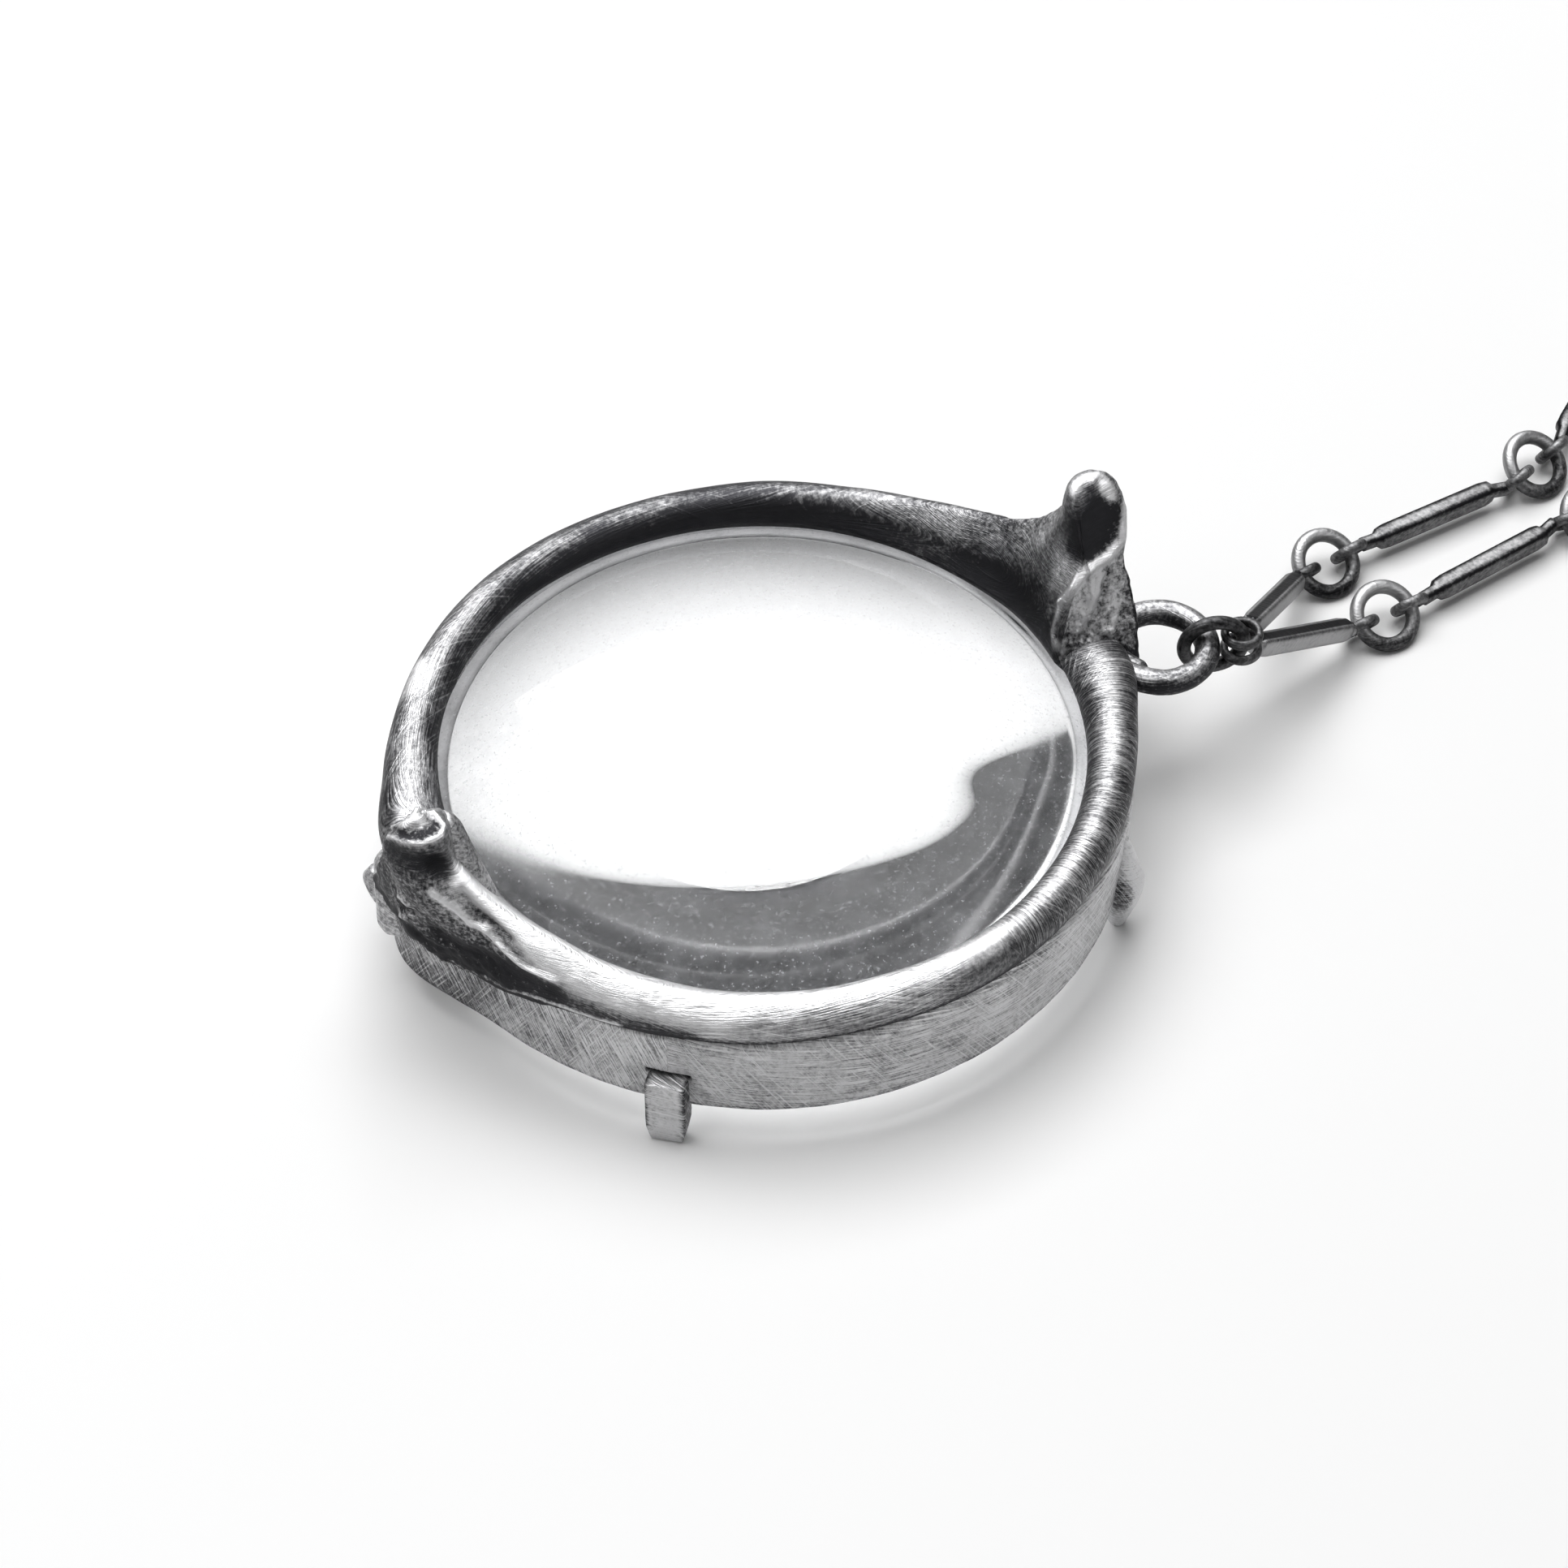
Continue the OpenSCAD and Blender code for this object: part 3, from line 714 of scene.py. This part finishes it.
def half(name, tones, marks, grow, stand, out, drop, turn, across, seed):
    """One bone, turned about the axis, with its casting skin, the face at its cut end and the
    marks left in it by hand: each raises the points near a line and changes their looks.
    Columns crowd at the top, where the spur is wide, and soft rounds the edge of the cut. At
    the direction across the strokes turn from along the bar to across it."""
    rows, columns, face = 400, 200, 42
    d = even_rows(grow, stand, out, drop, rows)
    u = np.radians(-90 + np.arange(columns) * 360 / columns)
    t = u + 0.6 * np.cos(u)
    parts = np.array_split(d, 12)
    length = eased(np.concatenate([ray_lengths(p, t, grow, stand, out, drop) for p in parts]))
    soft = 0.3 + 0.9 * step(length * np.sin(t), 5.5, 8.0)
    length = length - soft * round_fall(d[:, None], soft)
    length = length * (1 - 0.35 * round_fall(half_turn - d[:, None], tip_size, 0.999))
    inward = np.linspace(0.03, 0.985, face)[:, None]
    length = np.concatenate([length[:1] * inward, length])
    d = np.concatenate([np.full(face, d[0]), d])
    points = bone_surface(d[:, None], t[None, :], length, out)
    n = normals_of(points)
    tarnish_and_shade, grit, worked, web = bone_looks(d, t, points[..., 2], tones, face)
    raised = np.zeros_like(tarnish_and_shade)
    for (height, wide, darker, coarser), *line in marks:
        near = bell(along_line(points, n, line), wide)
        raised = raised + height * near
        tarnish_and_shade = tarnish_and_shade + darker * near
        grit = grit + coarser * near
    tarnish_and_shade, grit = np.clip(tarnish_and_shade, 0, 1.25), np.clip(grit, 0, 1)
    lumps = 0.16 * rough(points, 2.2, seed) + 0.10 * rough(points, 0.8, seed + 5)
    lumps = lumps + 0.05 * rough(points, 0.4, seed + 7)
    hand = 0.05 * rough(points, 6.0, seed + 9, 2)
    points = points + n * (lumps * grit * np.maximum(web, 0.1) + hand + raised)[..., None]
    along = np.radians(d)[:, None] * mean_r + 0 * length
    lay = np.stack([along, length * (t[None, :] + 2)], -1)
    lay[d > across] = lay[d > across][..., ::-1]
    worked = worked * step(np.abs(d - across), 1, 9)[:, None]
    flat, faces = closed_grid(points)
    flat[:, :2] = flat[:, :2] @ spin(turn)
    looks = {
        "tarnish_and_shade": np.concatenate([tarnish_and_shade.ravel(), [tarnish_and_shade[0].mean(), tarnish_and_shade[-1].mean()]]),
        "grit": np.concatenate([grit.ravel(), [0.5, 0.2]]),
        "worked": np.concatenate([worked.ravel(), [0.0, 0.0]]),
    }
    lay = np.vstack([lay.reshape(-1, 2), lay[0].mean(0), lay[-1].mean(0)])
    return make_piece(name, flat, faces, rim_silver, "frame", looks, lay)


# %% [markdown]
# ### What the hand left
# What makes each spur its own is a table of marks: a hollow, a lip or a rubbed spot is a line
# over the surface with a height, a width, and how much darker and coarser it makes the metal.
# A second table says how dark the bar is along its length, from its tarnish and from painted
# shade that dims the lamps' reflections at the back of the rim and at its front right, and how
# well its strokes show.

# %% Marks on the bones
# (height, half width, darker, coarser), then the line's points: distance, direction, height
right_marks = [
    # dark hollow face of the head
    [(-0.12, 1.5, 0.55, -0.7), (24.3, 32.2, 17.6), (23.9, 30.7, 16.8), (22.9, 29.6, 15.8)],
    # bright lip that winds from the head down to the web
    [(0.28, 0.30, -1.6, -0.9),
     (26.3, 31.4, 17.2), (25.5, 29.3, 15.4), (24.5, 28.6, 14.8), (22.9, 28.1, 14.5)],
    [(0.20, 0.24, -0.9, -0.8), (22.9, 28.1, 14.5), (21.6, 27.8, 13.6), (21.0, 28.2, 12.6)],
    [(0.12, 0.22, -0.5, -0.5), (21.0, 28.2, 12.6), (20.1, 26.2, 10.8), (20.4, 23.5, 10.0)],
    # furrows of the leaf
    [(-0.16, 0.30, 0.25, 0.0), (24.3, 27.4, 14.0), (23.3, 25.6, 12.0), (22.4, 24.5, 10.8)],
    [(0.12, 0.35, -0.55, 0.2), (23.6, 27.2, 13.8), (22.6, 25.9, 12.2), (21.6, 24.6, 11.0)],
    [(0.10, 0.30, -0.40, 0.2), (24.6, 26.0, 12.6), (24.2, 24.6, 11.2), (23.6, 23.6, 10.3)],
    # worn spot and edge of the head
    [(0.10, 0.50, -1.1, -0.5), (25.3, 32.9, 18.9), (25.5, 32.2, 18.2)],
    [(0.02, 0.35, -0.6, -0.3), (23.1, 34.7, 19.2), (24.0, 35.1, 19.5), (25.1, 34.6, 19.6)],
    # pale patch on the rim
    [(0.03, 0.60, -0.65, 0.3), (22.2, 164.0, 11.1), (22.3, 170.0, 11.1)],
]
left_marks = [
    # smooth hollow under the cap
    [(-0.45, 0.80, 0.35, -0.7), (26.0, 34.5, 16.9), (25.4, 37.4, 16.9), (24.3, 39.4, 16.5)],
    [(-0.25, 0.60, 0.30, -0.6), (24.3, 39.4, 16.5), (23.7, 40.4, 15.5)],
    # lip round the cap
    [(0.20, 0.18, -0.55, -0.5),
     (26.0, 32.5, 17.5), (25.6, 30.7, 18.3), (24.8, 31.0, 18.9), (23.9, 33.0, 19.1),
     (23.0, 34.3, 18.5), (22.9, 36.7, 18.2), (23.4, 38.0, 18.0), (24.8, 37.7, 18.1),
     (25.6, 35.7, 18.0), (25.9, 34.0, 17.9), (26.0, 32.5, 17.5)],
    [(-0.15, 0.50, 0.45, 0.4), (25.3, 34.9, 18.2), (24.4, 36.6, 18.2), (23.4, 36.4, 18.3)],
    # pale lower lip over the wall
    [(0.05, 0.22, -0.8, -0.3),
     (24.2, 34.0, 6.2), (23.5, 40.5, 7.2), (23.2, 45.4, 7.75), (23.0, 53.3, 8.5),
     (22.8, 60.3, 8.85), (22.7, 68.3, 9.0)],
    [(0.12, 0.32, -1.3, -0.8), (24.9, 33.4, 18.5), (24.2, 34.6, 18.5)],
    # bright crest from the spur to the rim
    [(0.10, 0.80, -1.4, -1.0),
     (22.9, 41.4, 15.0), (22.4, 44.5, 14.1), (22.4, 51.0, 13.2), (22.3, 57.0, 12.5)],
    [(0.0, 1.1, -1.0, -0.8),
     (22.3, 57.0, 12.5), (22.3, 62.6, 12.0), (22.3, 70.0, 11.5), (22.0, 84.0, 11.2)],
    # torn edge beside the crest, with a groove over it
    [(-0.22, 0.32, 0.5, 0.0), (23.4, 41.6, 14.4), (23.2, 44.5, 13.4), (22.9, 50.0, 12.5)],
    [(0.24, 0.26, -0.8, -0.4),
     (25.0, 39.9, 14.8), (23.9, 42.3, 13.3), (23.6, 43.9, 12.5), (23.1, 46.1, 12.5)],
    [(0.22, 0.24, -0.8, -0.4),
     (23.1, 46.1, 12.3), (23.0, 49.8, 11.5), (23.1, 53.0, 11.0), (22.9, 58.2, 11.0)],
    # lumps low on the spur
    [(0.35, 0.40, -0.5, 0.2), (25.3, 33.6, 12.4), (25.4, 34.6, 12.0)],
    [(0.30, 0.35, -0.5, 0.2), (25.0, 33.6, 10.6), (24.9, 31.4, 9.4)],
    [(-0.30, 0.40, 0.5, 0.2), (25.1, 33.6, 11.5), (25.0, 32.2, 10.2)],
    # dark hollow over the wall's edge
    [(-0.25, 0.85, 0.45, 0.25),
     (24.3, 38.1, 10.0), (23.6, 43.6, 9.7), (23.3, 49.5, 9.9), (23.0, 57.9, 9.8)],
    [(0.0, 0.6, 0.35, 0.2), (23.0, 57.9, 9.7), (22.9, 65.9, 9.6), (22.8, 80.0, 9.5)],
]
# degrees from the cut end, how dark from tarnish and painted shade, how much of the strokes
right_tones = [
    [0, 0.62, 0.5], [25, 0.84, 0.5], [60, 1.25, 0.5], [100, 1.15, 0.5],
    [130, 0.95, 0.8], [160, 0.84, 1.0], [180, 0.78, 1.0],
]
left_tones = [
    [0, 0.62, 0.5], [30, 0.50, 1.0], [60, 0.46, 1.0], [85, 0.58, 1.1],
    [110, 0.76, 1.2], [140, 0.84, 1.2], [180, 0.80, 1.2],
]
# fullness and height of the spur, its shift outwards, the bar's extra depth under it, turn
# about the axis, where the strokes turn across the bar, seed
right_half = half("rim_half_right", right_tones, right_marks, 1.0, 1.0, 0.0, 0.0, 0, 190, 21)
left_half = half("rim_half_left", left_tones, left_marks, 1.2, 0.895, -0.45, 0.6, 180, 104, 31)

# %% [markdown]
# ## Prongs, knuckle and loop
# The small parts that are soldered or cast to the wall are pebbles: rounded bodies spanned by
# a few balls. For each outward direction the body's surface lies on the ball that reaches
# furthest that way, and a soft choice between the balls rounds the edges between them. The
# front prong is square, and the others are leaves that lie against the wall.

# %% Pebbles
def pebble(balls, sharp, rows=48, columns=72):
    """Soft hull of balls given as rows of x, y, z, radius. For a direction n each ball's
    reach is c . n + r, its weight exp(sharp * reach), and the point is the weighted mean of
    c + r n."""
    balls = np.array(balls, float)
    u = np.radians(np.linspace(2, 178, rows))[:, None]
    v = np.radians(np.arange(columns) * 360 / columns)[None, :]
    n = np.stack([np.sin(u) * np.cos(v), np.sin(u) * np.sin(v), np.cos(u) + 0 * v], -1)
    reach = n @ balls[:, :3].T + balls[:, 3]
    weight = np.exp(sharp * (reach - reach.max(-1, keepdims=True)))
    weight /= weight.sum(-1, keepdims=True)
    return weight @ balls[:, :3] + (weight @ balls[:, 3])[..., None] * n


def pebble_mesh(balls, sharp, seed, skin):
    """Closed mesh of a pebble with a little casting skin on it."""
    points = pebble(balls, sharp)
    skin = skin * rough(points, 1.0, seed)
    return closed_grid(points + normals_of(points) * skin[..., None])


def turned(balls, a):
    """Balls written for direction 0, carried round to direction a."""
    balls = np.array(balls, float)
    balls[:, :2] = balls[:, :2] @ spin(a)
    return balls


def box_balls(x0, x1, half_width, z0, z1, radius):
    """Balls at the corners of a box that is rounded by their radius."""
    return [
        [x, y, z, radius]
        for x in (x0 + radius, x1 - radius)
        for y in (-half_width + radius, half_width - radius)
        for z in (z0 + radius, z1 - radius)
    ]


tab_balls = box_balls(wall_r_low - 0.6, wall_r_low + 1.15, tab_w / 2, 1.2, 5.2, 0.22)
foot_balls = box_balls(wall_r_low - 0.3, wall_r_low + 0.95, tab_w / 2 - 0.2, 0.0, 1.6, 0.2)
prongs = [pebble_mesh(turned(tab_balls + foot_balls, tab_az), 14, 41, 0.03)]
prong_ways = [np.full(len(prongs[0][0]), tab_az)]
for n in (1, 2, 3):
    a = tab_az + 90 * n
    out = float(swell(a))
    base = wall_r_low + 0.25 + out
    leaf = [
        [wall_r_top - 0.1 + out, 0, 7.6, 0.3],
        [base, 0, 4.4, 1.35],
        [base, 0, 3.2, 1.3],
        [wall_r_low + 0.1 + out, 0, 0.6, 0.6],
    ]
    prongs.append(pebble_mesh(turned(leaf, a), 9, 42 + n, 0.06))
    prong_ways.append(np.full(len(prongs[-1][0]), a))
flat, faces = join(prongs)
flat[:, 2] = np.maximum(flat[:, 2], 0)
way = np.radians(np.concatenate(prong_ways))
aside = np.abs(flat[:, 1] * np.cos(way) - flat[:, 0] * np.sin(way))
# Painted shade: the prongs are darker at their sides.
looks = {"tarnish_and_shade": 0.7 * step(aside, 0.8, 1.25), "grit": 0.35}
prong_piece = make_piece("prongs", flat, faces, wall_silver, "frame", looks, plain_lay(flat))


def balls_at(*rows):
    """Balls from rows of distance, direction, height and radius."""
    return [[*polar(r, a, z), radius] for r, a, z, radius in rows]


# knuckle, lump beside it and shoulder of the left spur: (sharpness, seed, skin), then balls
knuckles = [
    [(5, 51, 0.10), (24.1, 203.5, 5.4, 1.2), (23.5, 202, 8.6, 1.6), (22.2, 209, 6.2, 1.3)],
    [(6, 52, 0.12), (24.4, 196, 5.6, 0.9), (24.0, 197.5, 4.5, 0.8), (22.5, 200, 4.8, 0.9)],
    [(8, 53, 0.08), (22.5, 214.6, 16.9, 1.0), (22.3, 217.2, 15.0, 1.15), (21.9, 221, 12.4, 1.1)],
]
flat, faces = join([pebble_mesh(balls_at(*balls), *how) for how, *balls in knuckles])
looks = {"tarnish_and_shade": 0.45, "grit": 0.5}
knuckle_piece = make_piece("knuckle", flat, faces, rim_silver, "frame", looks, plain_lay(flat))

# %% [markdown]
# ## Rings of wire
# A ring is a small round section carried along a circle. The same function makes the soldered
# loop, the jump ring, the rings of the chain and, with a flattened section, the eyes of the
# bars.

# %% Rings
loop_wire, loop_az, loop_r, loop_mid_r, loop_z = 1.6, 21.0, 3.05, 26.55, 9.0


def ring(middle, axis, radius, half_wide, half_thick, rows, columns):
    """Ring round an axis: at the angle u it stands at radius, and at the angle v its section
    reaches half_wide outwards and half_thick along the axis."""
    axis = np.array(axis, float) / np.linalg.norm(axis)
    side = np.cross(axis, [0.3, 0.2, 1.0] if abs(axis[2]) < 0.9 else [1.0, 0.0, 0.0])
    side /= np.linalg.norm(side)
    u = (np.arange(rows) * 2 * np.pi / rows)[:, None, None]
    v = (np.arange(columns) * 2 * np.pi / columns)[None, :, None]
    way = np.cos(u) * side + np.sin(u) * np.cross(axis, side)
    points = middle + (radius + half_wide * np.cos(v)) * way + half_thick * np.sin(v) * axis
    return points, [grid_faces(rows, columns, round_rows=True)[:, ::-1]]


loop_middle = polar(loop_mid_r, loop_az, loop_z)
loop_thick = loop_wire / 2
loop_points, loop_faces = ring(loop_middle, [0, 0, 1], loop_r, loop_thick, loop_thick, 96, 32)
loop_points = loop_points + 0.04 * rough(loop_points, 2.0, 61)[..., None] * [0.6, 0.6, 1]
root_balls = balls_at(
    (wall_r_top + 1.6, loop_az - 3, loop_z - 0.1, 0.8),
    (wall_r_top, loop_az - 5, loop_z - 0.4, 1.0),
    (wall_r_top, loop_az + 4, loop_z - 0.4, 1.0),
)
flat, faces = join([(loop_points, loop_faces), pebble_mesh(root_balls, 6, 62, 0.05)])
# The loop's wire is blackened, with painted light along its top.
looks = {"tarnish_and_shade": 0.95 - 0.37 * step(flat[:, 2], 9.2, 9.75), "grit": 0.25, "worked": 0.6}
loop_piece = make_piece("loop", flat, faces, rim_silver, "frame", looks, plain_lay(flat))

# %% [markdown]
# ## The chain
# Each link is a square bar that is drawn down at both ends to a short round neck with an eye,
# and it hangs on a round ring. The bars run from ring to ring along the curve in which the
# chain lies, so the rings' places come first. The chain was blackened and rubbed too, and
# painted light and shade lie over that: each point of a bar's section has its own tone by the
# way it faces, and a ring is painted darker where it lies low.

# %% Places of the chain
pitch, bar_body, bar_side, ring_wire = 17.4, 8.9, 1.25, 0.95
ring_r, ring_lean, eye_hole, eye_band = 1.95, math.radians(32.0), 1.6, 0.55
eye_t, neck_w = 0.7, 0.95
ring_z = ring_r * math.sin(ring_lean) + ring_wire / 2
jump_wire, jump_r, jump_az, jump_z, jump_out = 0.9, 1.9, 8.0, 8.75, 3.5
leave_az = 32.5
sway = [0, -30, -50, -55, -45, -28, -10, 8, 27, 45, 63, 81]


def strand_places(side):
    """Middles and directions of the rings of one strand. Each bar between them turns away
    from leave_az by its sway, to one side or to the other."""
    bars = leave_az - side * np.array(sway, float)
    start = np.array([40.4, 19.6] if side < 0 else [36.9, 24.4])
    steps = pitch * polar(1, bars, 0)[:, :2]
    middles = np.vstack([start, start + np.cumsum(steps, 0)])
    between = (bars[:-1] + bars[1:]) / 2
    rings = np.concatenate([[bars[0] + side * 2], between, [bars[-1] - side * 4]])
    return middles, rings


def hook(middle, a, way):
    """Point of a ring's wire where a bar hangs on it, at its back (-1) or front (1)."""
    return np.array([*(middle + way * ring_r * polar(1, a, 0)[:2]), ring_z])


def wire_way(a):
    """Direction of a leaning ring's wire where the bars hang on it."""
    return polar(math.cos(ring_lean), a + 90, math.sin(ring_lean))


print("rings in a strand:", len(sway) + 1, "with their middles", round(ring_z, 2), "mm high")

# %% Bars
bar_columns = 28
bar_turn = (np.arange(bar_columns) + 0.5) * 2 * np.pi / bar_columns


def sweep(path, half_size, square):
    """A closed bar along a path: its section is a rounded square, |x|^n + |y|^n = 1, of the
    given half size and power n at each point, held upright."""
    path = np.array(path)
    way = np.gradient(path, axis=0)
    way /= np.linalg.norm(way, axis=-1, keepdims=True)
    side = np.cross(way, [0, 0, 1.0])
    side /= np.linalg.norm(side, axis=-1, keepdims=True)
    up = np.cross(side, way)
    c, s = np.cos(bar_turn)[None, :], np.sin(bar_turn)[None, :]
    n = np.array(square)[:, None]
    reach = np.array(half_size)[:, None] / (np.abs(c) ** n + np.abs(s) ** n) ** (1 / n)
    points = path[:, None, :] + (reach * c)[..., None] * side[:, None, :]
    return points + (reach * s)[..., None] * up[:, None, :]


def bar(p, q, hole_p, hole_q, body=bar_body, size=bar_side):
    """A bar between two eyes round p and q, whose holes run along hole_p and hole_q."""
    p, q = np.array(p), np.array(q)
    d = (q - p) / np.linalg.norm(q - p)
    middle = (p + q) / 2
    ends = []
    for eye, hole, way in ((p, hole_p, 1), (q, hole_q, -1)):
        hole = np.array(hole) / np.linalg.norm(hole)
        to = middle - way * d * body / 2 - eye
        flat = to - (to @ hole) * hole
        ends.append(eye + flat / np.linalg.norm(flat) * (eye_hole + eye_band) / 2)
    a, b = middle - d * body / 2, middle + d * body / 2
    ease = np.array([0.0, 0.06, 0.14, 0.3, 0.5, 0.75, 1.0])[:, None]
    path = np.vstack(
        [
            ends[0] + (a - ends[0]) * (np.arange(5) / 5)[:, None],
            a + (middle - a) * ease[:-1],
            middle + (b - middle) * (1 - ease[::-1]),
            b + (ends[1] - b) * ((np.arange(5) + 1) / 5)[:, None],
        ]
    )
    neck, full = neck_w / 2, size / 2
    half_size = [neck] * 5 + [neck * 1.35, full * 0.97] + [full] * 5
    square = [2.0] * 5 + [3.0, 6.0] + [8.0] * 5
    surface = sweep(path, half_size + half_size[-2::-1], square + square[-2::-1])
    sizes = (eye_hole + eye_band) / 2, eye_band / 2, eye_t / 2, 36, 14
    return [closed_grid(surface), ring(p, hole_p, *sizes), ring(q, hole_q, *sizes)]


chain_silver = silver(
    "chain_silver", (0.34, 0.34, 0.345), (0.012, 0.012, 0.013), 0.32, (0, 30), 0.4
)
jump_silver = silver(
    "dark_jump_silver", (0.22, 0.22, 0.225), (0.015, 0.015, 0.016), 0.30, (0, 30), 0.4
)
jump_middle = polar(loop_mid_r, loop_az, 0) + polar(jump_out, jump_az, jump_z)


def jump_point(a):
    """Point of the jump ring's wire, a degrees over the level."""
    a = math.radians(a)
    return jump_middle + jump_r * (math.cos(a) * polar(1, jump_az, 0) + [0, 0, math.sin(a)])


def bar_face_shading(parts, top=0.5, flank=0.6):
    """How dark each point of a bar is, as painted light and shade by the way its faces look: top
    on its upper face, flank at its sides, darker by 0.5 along the upper corners as a painted
    shade line, and the mean of top and flank on its eyes."""
    rows = (len(parts[0][0]) - 2) // bar_columns
    level = np.sin(bar_turn)
    section = flank + (top - flank) * step(level, 0.86, 0.93) + 0.5 * bell(level - 0.72, 0.15)
    eyes = [np.full(p.reshape(-1, 3).shape[0], 0.5 * (top + flank)) for p, _ in parts[1:]]
    return np.concatenate([np.tile(section, rows), [flank, flank], *eyes])


def strand(name, side, slot, node):
    """All bars and rings of one strand as one piece."""
    middles, rings = strand_places(side)
    first, ring_hook = jump_point(slot), hook(middles[0], rings[0], -1)
    body = 0.75 * np.linalg.norm(ring_hook - first)
    parts = bar(first, ring_hook, [0, 0, 1], wire_way(rings[0]), body)
    # Painted shade: the first bar, sloping up to the jump ring, is dark on top and light at its
    # sides.
    tones = [bar_face_shading(parts, 1.3, 0.1)]
    for middle, a in zip(middles, rings):
        axis = polar(-math.sin(ring_lean), a + 90, math.cos(ring_lean))
        link = ring([*middle, ring_z], axis, ring_r, ring_wire / 2, ring_wire / 2, 48, 16)
        parts.append(link)
        # Painted shade: a ring is darker where it lies low, near the floor.
        tones.append(0.15 + 0.6 * (1 - step(link[0][..., 2].ravel(), 0.8, 2.2)))
    for k in range(1, len(middles)):
        p, q = hook(middles[k - 1], rings[k - 1], 1), hook(middles[k], rings[k], -1)
        link = bar(p, q, wire_way(rings[k - 1]), wire_way(rings[k]))
        parts += link
        tones.append(bar_face_shading(link))
    flat, faces = join(parts)
    looks = {"tarnish_and_shade": np.concatenate(tones), "grit": 0.1}
    piece = make_piece(name, flat, faces, chain_silver, node, looks, plain_lay(flat))
    return hook(middles[-1], rings[-1], 1), wire_way(rings[-1])


near_end = strand("near_strand", -1, -20, "chain_near")
far_end = strand("far_strand", 1, 21, "chain_far")

# %% Jump ring and clasp
across_jump = polar(1, jump_az - 90, 0)
points, faces = ring(jump_middle, across_jump, jump_r, jump_wire / 2, jump_wire / 2, 64, 20)
looks, lay = {"tarnish_and_shade": 0.6, "grit": 0.15}, points[..., :2]
jump_piece = make_piece("jump_ring_wire", points, faces, jump_silver, "jump_ring", looks, lay)

p, q = near_end[0], far_end[0]
clasp_ends, clasp_side = 4.4, 1.4
clasp_body = np.linalg.norm(q - p) - clasp_ends
flat, faces = join(bar(p, q, near_end[1], far_end[1], clasp_body, clasp_side))
looks = {"tarnish_and_shade": 0.25, "grit": 0.1}
clasp_piece = make_piece("clasp_bar", flat, faces, chain_silver, "clasp", looks, flat[:, :2])

# %% [markdown]
# ## Floor, light and camera
# The picture was taken from the front at about 47 degrees over a white table under soft
# lamps. A wide lamp overhead makes the table white and leaves soft shadows close to the metal,
# one further back draws the bright streak along the rim, and two small ones in front light the
# wall. Two of the four shine in the gloss alone, as if a screen kept them off the table.

# %% Floor
board, web = start_material("white_board")
surface = {"Base Color": (0.93, 0.93, 0.93, 1), "Roughness": 0.8, "Specular IOR Level": 0.2}
close_material(web, web.principled(surface))
side = 3.0
mesh = bpy.data.meshes.new("floor")
corners = [(-side, -side, 0), (side, -side, 0), (side, side, 0), (-side, side, 0)]
mesh.from_pydata(corners, [], [(0, 1, 2, 3)])
mesh.materials.append(board)
floor = placed("floor", mesh)
print("floor:", 2 * side, "m wide")

# %% Lamps
scene = bpy.context.scene
scene.view_settings.view_transform = "Standard"
world = bpy.data.worlds.new("studio")
world.use_nodes = True
background = world.node_tree.nodes["Background"].inputs
background["Color"].default_value = (1.0, 1.0, 1.0, 1)
background["Strength"].default_value = 0.13
scene.world = world
aim = Vector((LENS_AXIS + [1.34, -6.15, 13.4]) * MM)


def lamp(name, place, size, power, on_floor=True):
    """A square lamp that faces the pendant from a place in millimetres over the lens, and
    isn't seen through it. With on_floor off it shines in gloss alone."""
    light = bpy.data.lights.new(name, "AREA")
    light.shape, light.size, light.energy = "SQUARE", size, power
    holder = placed(name, light)
    holder.location = Vector((LENS_AXIS + place) * MM)
    holder.visible_transmission = False
    holder.visible_diffuse = on_floor
    holder.rotation_euler = (holder.location - aim).to_track_quat("Z", "Y").to_euler()


lamp("overhead", [-90, 175, 690], 0.62, 5.5)
lamp("back", [-60, 420, 560], 0.7, 6.2, False)
lamp("front_left", [-300, -160, 420], 0.35, 0.4)
lamp("front_right", [380, -160, 420], 0.35, 0.7, False)
print("lamps:", [light.name for light in bpy.data.lights])

# %% Camera
tilt = math.radians(47.5)
camera_data = bpy.data.cameras.new("camera")
camera_data.lens, camera_data.sensor_width = 115.2, 36
camera_data.clip_start, camera_data.clip_end = 0.01, 20
camera = placed("camera", camera_data)
camera.location = aim + 0.3 * Vector((0, -math.cos(tilt), math.sin(tilt)))
camera.rotation_euler = (math.pi / 2 - tilt, 0, 0)
scene.camera = camera
print("camera at", tuple(round(v, 4) for v in camera.location))
